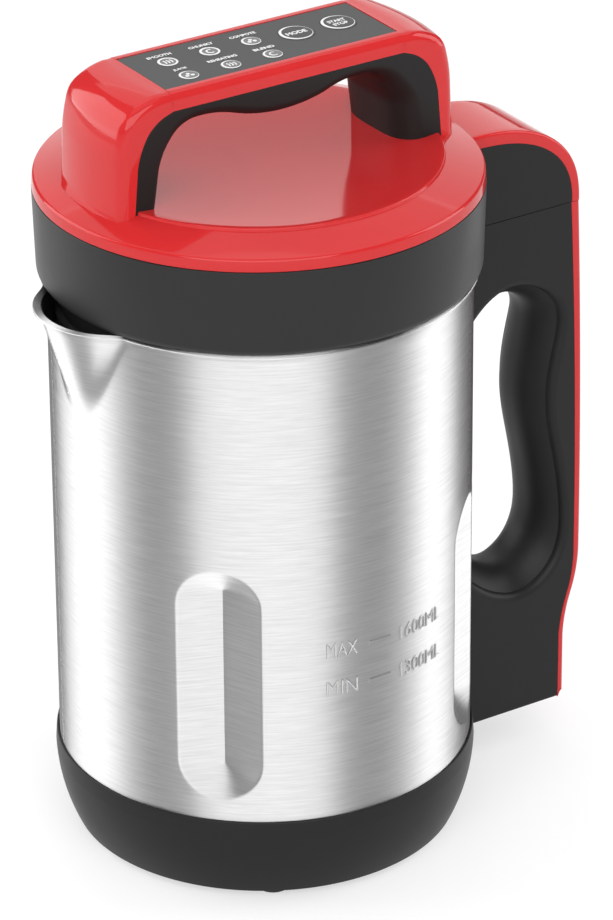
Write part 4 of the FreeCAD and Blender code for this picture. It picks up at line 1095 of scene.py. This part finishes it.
# The arch's lines on its left half, from the foot to the panel: each stretch goes on from the one before.
ARCH_COUNTS = (24, 14, 14, 4)
ARCH_OUTSIDE = [[(75.2, ARCH_FOOT), (74.0, 290.0)],
                [Arc((73.3, 298.5), (72.0, 304.6)), Arc((70.2, 308.6), (66.6, 311.8))],
                [Arc((59.8, 314.6), (PANEL_BED + 2.6, 315.45))], [(PANEL_BED, ARCH_TOP)]]
ARCH_SEAM = [[(66.66, ARCH_FOOT), (64.3, 290.0)], [Arc((63.0, 295.2), (60.0, 301.5))],
             [Arc((56.0, 305.6), (51.6, 307.9))], [(49.0, 308.8)]]
FINGER_COUNTS = (24, 14, 14, 60, 14, 14, 24)
SEAM_STOPS = [[(-66.66, ARCH_FOOT), (-64.3, 290.0)], [Arc((-63.0, 295.2), (-60.0, 301.5))],
              [Arc((-55.4, 306.0), (-49.0, 308.8))], [(49.0, 308.8)], [Arc((55.4, 306.0), (60.0, 301.5))],
              [Arc((63.0, 295.2), (64.3, 290.0))], [(66.66, ARCH_FOOT)]]
FINGER_LINE = [[(-58.8, ARCH_FOOT), (-54.9, 287.0)], [Arc((-53.2, 292.0), (-49.6, 297.6))],
               [Arc((-45.4, 301.4), (-40.0, 303.4))],
               [Arc((-31.0, 303.3), (-22.0, 301.2)), Arc((-3.0, 297.9), (16.0, 300.6)),
                Arc((26.0, 303.4), (38.0, 303.0))],
               [Arc((44.0, 301.0), (49.0, 296.6))], [Arc((52.4, 292.0), (54.1, 287.0))], [(57.3, ARCH_FOOT)]]


def mirrored(line, middle):
    """A line from the left foot, the stretch in the middle, and the line's mirror image to the right foot."""
    return np.vstack([line * (-1, 1), middle, line[::-1]])


def carrying_arch():
    bed = np.linspace(-1, 1, 49)
    outside = mirrored(stations(ARCH_OUTSIDE, ARCH_COUNTS), [(share * PANEL_BED, ARCH_TOP) for share in bed])
    seam = mirrored(stations(ARCH_SEAM, ARCH_COUNTS), [(share * 49.0, 308.8) for share in bed])
    first = sum(ARCH_COUNTS) - len(ARCH_COUNTS)
    last = first + len(bed) + 1
    ways = away_from(seam, outside)

    def end_round(i, y):
        sag = ARCH_END - math.sqrt(ARCH_END ** 2 - y ** 2)
        return -sag * abs(ways[i][0])

    def panel_bed(i):
        depth = PANEL_BED_DEPTH if first < i < last else 0.0
        side = PANEL_HALF_WIDTH + PANEL_GAP
        floor = [(depth, y) for y in np.linspace(-side, side, 15)]
        return [(0.0, -side - 0.6), (0.0, -side), *floor, (0.0, side), (0.0, side + 0.6)]

    skin = band("arch_skin", seam, outside, ARCH_HALF, ARCH_EDGE, FINISHES["red_gloss"], crown=end_round,
                flats=panel_bed)
    dress(skin, "lid", "red_gloss", "lid_arch")

    inside = stations(SEAM_STOPS, FINGER_COUNTS)
    finger = stations(FINGER_LINE, FINGER_COUNTS)
    half = ARCH_HALF - 0.05
    belly = np.interp(finger[:, 0], (-56, -46, 38, 50), (0, 1, 1, 0))
    right_leg = np.interp(finger[:, 0], (36, 50), (0, 1)) * (np.arange(len(finger)) > len(finger) / 2)
    edge = 1.8 + 1.7 * belly + 0.7 * right_leg

    def swelling(i, y):
        share = abs(y) / half
        return belly[i] * 1.5 * (1 - share ** 2) + right_leg[i] * 6.6 * (1 - share ** 4.5)

    grip = band("arch_lining", inside, finger, half, edge, FINISHES["black_matte"], crown=swelling, across=18)
    dress(grip, "lid", "black_matte", "arch_grip")


def pierced(plate, rods):
    """Cut holes into a plate where the rods go through it."""
    for rod in rods:
        hole = plate.modifiers.new("hole", "BOOLEAN")
        hole.operation = "DIFFERENCE"
        hole.solver = "EXACT"
        hole.object = rod
    mesh = plain_mesh(plate)
    plate.modifiers.clear()
    plate.data = mesh
    for rod in rods:
        bpy.data.objects.remove(rod)
    mesh.name = plate.name
    tidy(mesh)


def rounded_box(half_length, half_width, radius):
    return filleted([(half_length, half_width, radius), (-half_length, half_width, radius),
                     (-half_length, -half_width, radius), (half_length, -half_width, radius)], closed=True)


THICK_SIDE = 190.0


def ring_strip(radius, width, thick, thin=None, first=0.0, last=360.0, count=64):
    """A printed ring, or a part of one, that can grow thin on the side away from its thick side."""
    turns = np.linspace(first, last, count)
    share = (1 - np.cos(np.radians(turns - THICK_SIDE))) / 2
    widths = width + ((width if thin is None else thin) - width) * share
    return flat_strip(level_line(radius, turns), widths, thick)


LENS_COLUMNS = (-35.1, -17.35, 0.4)
LENS_ROWS = (4.6, -10.0)
LABEL_RISE = 6.3
BUTTON_PLACES = {"mode": 18.2, "start": 36.4}
BUTTON_ROW = 2.2
BUTTON_HOLE = 6.9
BUTTON_FOOT = 312.3
BUTTON_TOP = PANEL_TOP + 0.2
BUTTON_WORDS = {"mode": (("MODE", 8.6, 2.6, 0.0),),
                "start": (("START", 7.4, 2.2, 1.5), ("STOP", 6.2, 2.2, -1.6))}
BUTTON_PRINT = 0.03
LABELS = ((("SMOOTH", 10.2), ("JUICE", 5.6)), (("CHUNKY", 10.4), ("REHEATING", 12.3)),
          (("COMPOTE", 11.0), ("BLEND", 8.8)))
LABEL_CAP = 1.9
PRINT_THICK = 0.06


def button_round(name, x, outline):
    """A round piece about a button's axis."""
    piece = turned(name, outline, FINISHES["panel_grey"], closed=False, segments=96)
    piece.data.transform(Matrix.Translation((x * MM, BUTTON_ROW * MM, 0)))
    return piece


def control_panel():
    thick = 1.6
    beyond = 5

    def in_bed(spot, across):
        return (spot[0], spot[1], PANEL_TOP - thick / 2 + across)

    plate = slab("panel_plate", rounded_box(PANEL_HALF_LENGTH, PANEL_HALF_WIDTH, 1.2), thick / 2, 0.2,
                 FINISHES["panel_grey"], to_space=in_bed, across=2)
    low, high = PANEL_TOP - beyond, PANEL_TOP + beyond
    rod = [(0, low), (BUTTON_HOLE, low), (BUTTON_HOLE, high), (0, high)]
    pierced(plate, [button_round(f"{name}_rod", x, rod) for name, x in BUTTON_PLACES.items()])
    dress(plate, "lid", "panel_grey", "control_panel")

    meshes = []
    for column, x in enumerate(LENS_COLUMNS):
        for row, y in enumerate(LENS_ROWS):
            word, width = LABELS[column][row]
            label = fitted(text_mesh(word, 2.5, PRINT_THICK, 0.08), width, LABEL_CAP)
            thin = 0.75 if row == 0 and column < 2 else 0.12
            meshes.append((label, (x, y + LABEL_RISE)))
            meshes.append((ring_strip(3.4, 0.95, PRINT_THICK, thin), (x, y)))
            meshes += [(mesh, (x + dx, y + dy)) for mesh, (dx, dy) in glyph(2 * column + row)]
    prints = gathered("panel_prints", meshes, FINISHES["print_white"],
                      lambda px, py, lift: (px, py, PANEL_TOP + 0.15 + lift))
    dress(prints, "lid", "panel_grey")

    flange_top = BUTTON_FOOT + 0.9
    outline = filleted([(0, BUTTON_FOOT, 0), (7.5, BUTTON_FOOT, 0), (7.5, flange_top, 0),
                        (6.8, flange_top, 0), (6.8, BUTTON_TOP, 0.15), (0, BUTTON_TOP, 0)])
    for name, x in BUTTON_PLACES.items():
        dress(button_round(f"{name}_cap", x, outline), f"{name}_key", "panel_grey", f"{name}_button")
        letters = [(fitted(text_mesh(word, 2.7, BUTTON_PRINT, 0.09), width, height), (x, BUTTON_ROW + y))
                   for word, width, height, y in BUTTON_WORDS[name]]
        letters.append((ring_strip(6.0, 1.15, BUTTON_PRINT, 0.1), (x, BUTTON_ROW)))
        face = gathered(f"{name}_letters", letters, FINISHES["print_white"],
                        lambda px, py, lift: (px, py, BUTTON_TOP + BUTTON_PRINT + lift))
        dress(face, f"{name}_key", "panel_grey")


def glyph(number):
    """A simple sign inside a lamp's ring: upright strokes, dots or a small arc."""
    if number % 3 == 0:
        return [(flat_strip([(dx, -1.4), (dx + 0.4, 0.0), (dx, 1.4)], 0.6, PRINT_THICK), (0, 0))
                for dx in (-1.3, 0.0, 1.3)]
    if number % 3 == 1:
        spots = ((-1.1, -0.5), (1.1, -0.5), (0, 1.0))
        return [(ring_strip(0.4, 0.75, PRINT_THICK, count=16), spot) for spot in spots]
    return [(ring_strip(1.5, 0.7, PRINT_THICK, 0.3, 60, 300, count=24), (0.3, 0))]


def ellipse_line(length, height, count):
    """The rear block's back and top: a quarter of a full ellipse, and a level line on to the lid."""
    turns = np.linspace(0, math.pi / 2, count)
    power = 2 / BLOCK_FULLNESS
    curve = np.column_stack([BLOCK_START + length * np.cos(turns) ** power,
                             BLOCK_FOOT + height * np.sin(turns) ** power])
    flat = np.linspace((BLOCK_START, curve[-1][1]), (BLOCK_FRONT, curve[-1][1]), 5)[1:]
    return np.vstack([curve, flat])


def lid_gap(z):
    share = min(max((z - LID_SEAT) / (LID_EDGE - LID_SEAT), 0), 1)
    return COLLAR_FOOT + share * (COLLAR_HEAD - COLLAR_FOOT) + 0.06


def rear_block():
    keep_out = wall_round(lid_gap)
    seam_length = 45.7
    outer = ellipse_line(49.5, 36.9, 44)
    seam = ellipse_line(seam_length, 32.0, 44)
    cap = band("rear_crest", seam, outer, HANDLE_HALF, 1.2, FINISHES["red_gloss"], keep_out=keep_out,
               across=12)
    dress(cap, "lid", "red_gloss", "rear_cap")
    foot = np.linspace((BLOCK_FRONT, BLOCK_FOOT), (BLOCK_START + seam_length, BLOCK_FOOT), 10)
    near = np.linspace(seam[-1], (BLOCK_FRONT, BLOCK_FOOT), 8)[1:-1]
    block = slab("rear_body", *edged(((foot, 0.2), (seam[1:], 0.2), (near, 0.1))), FINISHES["black_matte"],
                 keep_out)
    dress(block, "lid", "black_matte", "rear_housing")


# Stage

CAMERA_TURN = -32.19
CAMERA_AWAY = 1747.0
CAMERA_HEIGHT = 1031.39
CAMERA_PITCH = 26.841
CAMERA_YAW = -0.548
CAMERA_ROLL = 0.402
FOCAL_PIXELS = 5208.9
PICTURE_HEIGHT = 920


def tilted(first, second, angle):
    """Two square directions turned in their own plane."""
    return (math.cos(angle) * first + math.sin(angle) * second,
            -math.sin(angle) * first + math.cos(angle) * second)


def set_camera():
    pitch, yaw, roll, turn = (math.radians(a) for a in (CAMERA_PITCH, CAMERA_YAW, CAMERA_ROLL, CAMERA_TURN))
    swing = Matrix.Rotation(yaw, 3, "Z")
    right = swing @ Vector((1, 0, 0))
    ahead = swing @ Vector((0, 1, 0))
    ahead, down = tilted(ahead, Vector((0, 0, -1)), pitch)
    right, down = tilted(right, down, roll)
    swing = Matrix.Rotation(turn, 3, "Z")
    right, ahead, down = (swing @ axis for axis in (right, ahead, down))
    place = swing @ Vector((0, -CAMERA_AWAY, 0)) + Vector((0, 0, CAMERA_HEIGHT))
    lens = bpy.data.cameras.new("camera")
    lens.sensor_width = 36.0
    lens.lens = lens.sensor_width * FOCAL_PIXELS / PICTURE_HEIGHT
    lens.clip_end = 50.0
    camera = linked("camera", lens)
    turned_axes = Matrix((right, -down, -ahead)).transposed()
    camera.matrix_world = Matrix.Translation(place * MM) @ turned_axes.to_4x4()
    bpy.context.scene.camera = camera


def softbox(name, turn, rise, away, width, height, power):
    """A soft lamp, placed by its turn from the camera's side and its rise above the object's middle."""
    lamp = bpy.data.lights.new(name, "AREA")
    lamp.shape = "RECTANGLE"
    lamp.size = width
    lamp.size_y = height
    lamp.energy = power
    holder = linked(name, lamp)
    swing = math.radians(CAMERA_TURN - 90 + turn)
    lift = math.radians(rise)
    centre = Vector((0, 0, 0.15))
    way = Vector((math.cos(swing) * math.cos(lift), math.sin(swing) * math.cos(lift), math.sin(lift)))
    holder.location = centre + way * away
    holder.rotation_mode = "QUATERNION"
    holder.rotation_quaternion = way.to_track_quat("Z", "Y")


def set_floor():
    half = 6.0
    paint_level = 0.45
    glow_level = 0.56
    corners = [(-half, -half, 0), (half, -half, 0), (half, half, 0), (-half, half, 0)]
    mesh = bpy.data.meshes.new("floor")
    mesh.from_pydata(corners, [], [(0, 1, 2, 3)])
    material, tree, shader = new_finish("floor_white")
    tree.nodes.remove(shader)
    paint = add(tree, "ShaderNodeBsdfDiffuse", {"Color": (*grey(paint_level), 1)})
    rays = node(tree, "ShaderNodeLightPath").outputs
    direct = maths(tree, "MAXIMUM", rays["Is Camera Ray"], rays["Is Glossy Ray"])
    seen = maths(tree, "MAXIMUM", direct, rays["Is Transmission Ray"])
    glow = maths(tree, "MULTIPLY", seen, glow_level)
    light = add(tree, "ShaderNodeEmission", {"Strength": glow})
    both = add(tree, "ShaderNodeAddShader", {0: paint, 1: light})
    fill(tree, tree.nodes["Material Output"], {"Surface": both})
    new_piece("floor", mesh, material)


def set_world():
    world = bpy.data.worlds.new("studio")
    world.use_nodes = True
    fill(world.node_tree, world.node_tree.nodes["Background"], {"Color": (1, 1, 1, 1), "Strength": 0.09})
    bpy.context.scene.world = world


# Each lamp's turn from the camera's side, rise, distance, width, height and power.
LAMPS = {
    "front_box": (0, 28, 2.2, 3.0, 1.9, 57),
    "left_box": (-105, 22, 1.6, 1.35, 1.4, 18),
    "right_box": (102, 22, 1.6, 0.85, 1.4, 12.5),
    "back_box": (180, 24, 1.8, 1.5, 1.2, 6.6),
    "high_box": (180, 58, 2.0, 2.0, 1.2, 7),
    "top_box": (0, 89, 2.0, 2.0, 2.0, 9),
}


def dress_nodes():
    """Give each of the part's own solids the finish of its slot."""
    for entry in frame["record"]["subparts"]:
        solid = frame["nodes"][entry["node"]]
        solid.data.materials.clear()
        solid.data.materials.append(FINISHES[entry["material_slot"]])


bpy.context.scene.view_settings.view_transform = "Standard"
dress_nodes()
dress(jug_shell(), "jug", "brushed_steel", "jug_shell")
dress(level_marks(), "jug", "brushed_steel")
heated_base()
rear_handle()
handle_strip()
lid_shells()
carrying_arch()
control_panel()
rear_block()
set_camera()
set_floor()
set_world()
for lamp_name, look in LAMPS.items():
    softbox(lamp_name, *look)
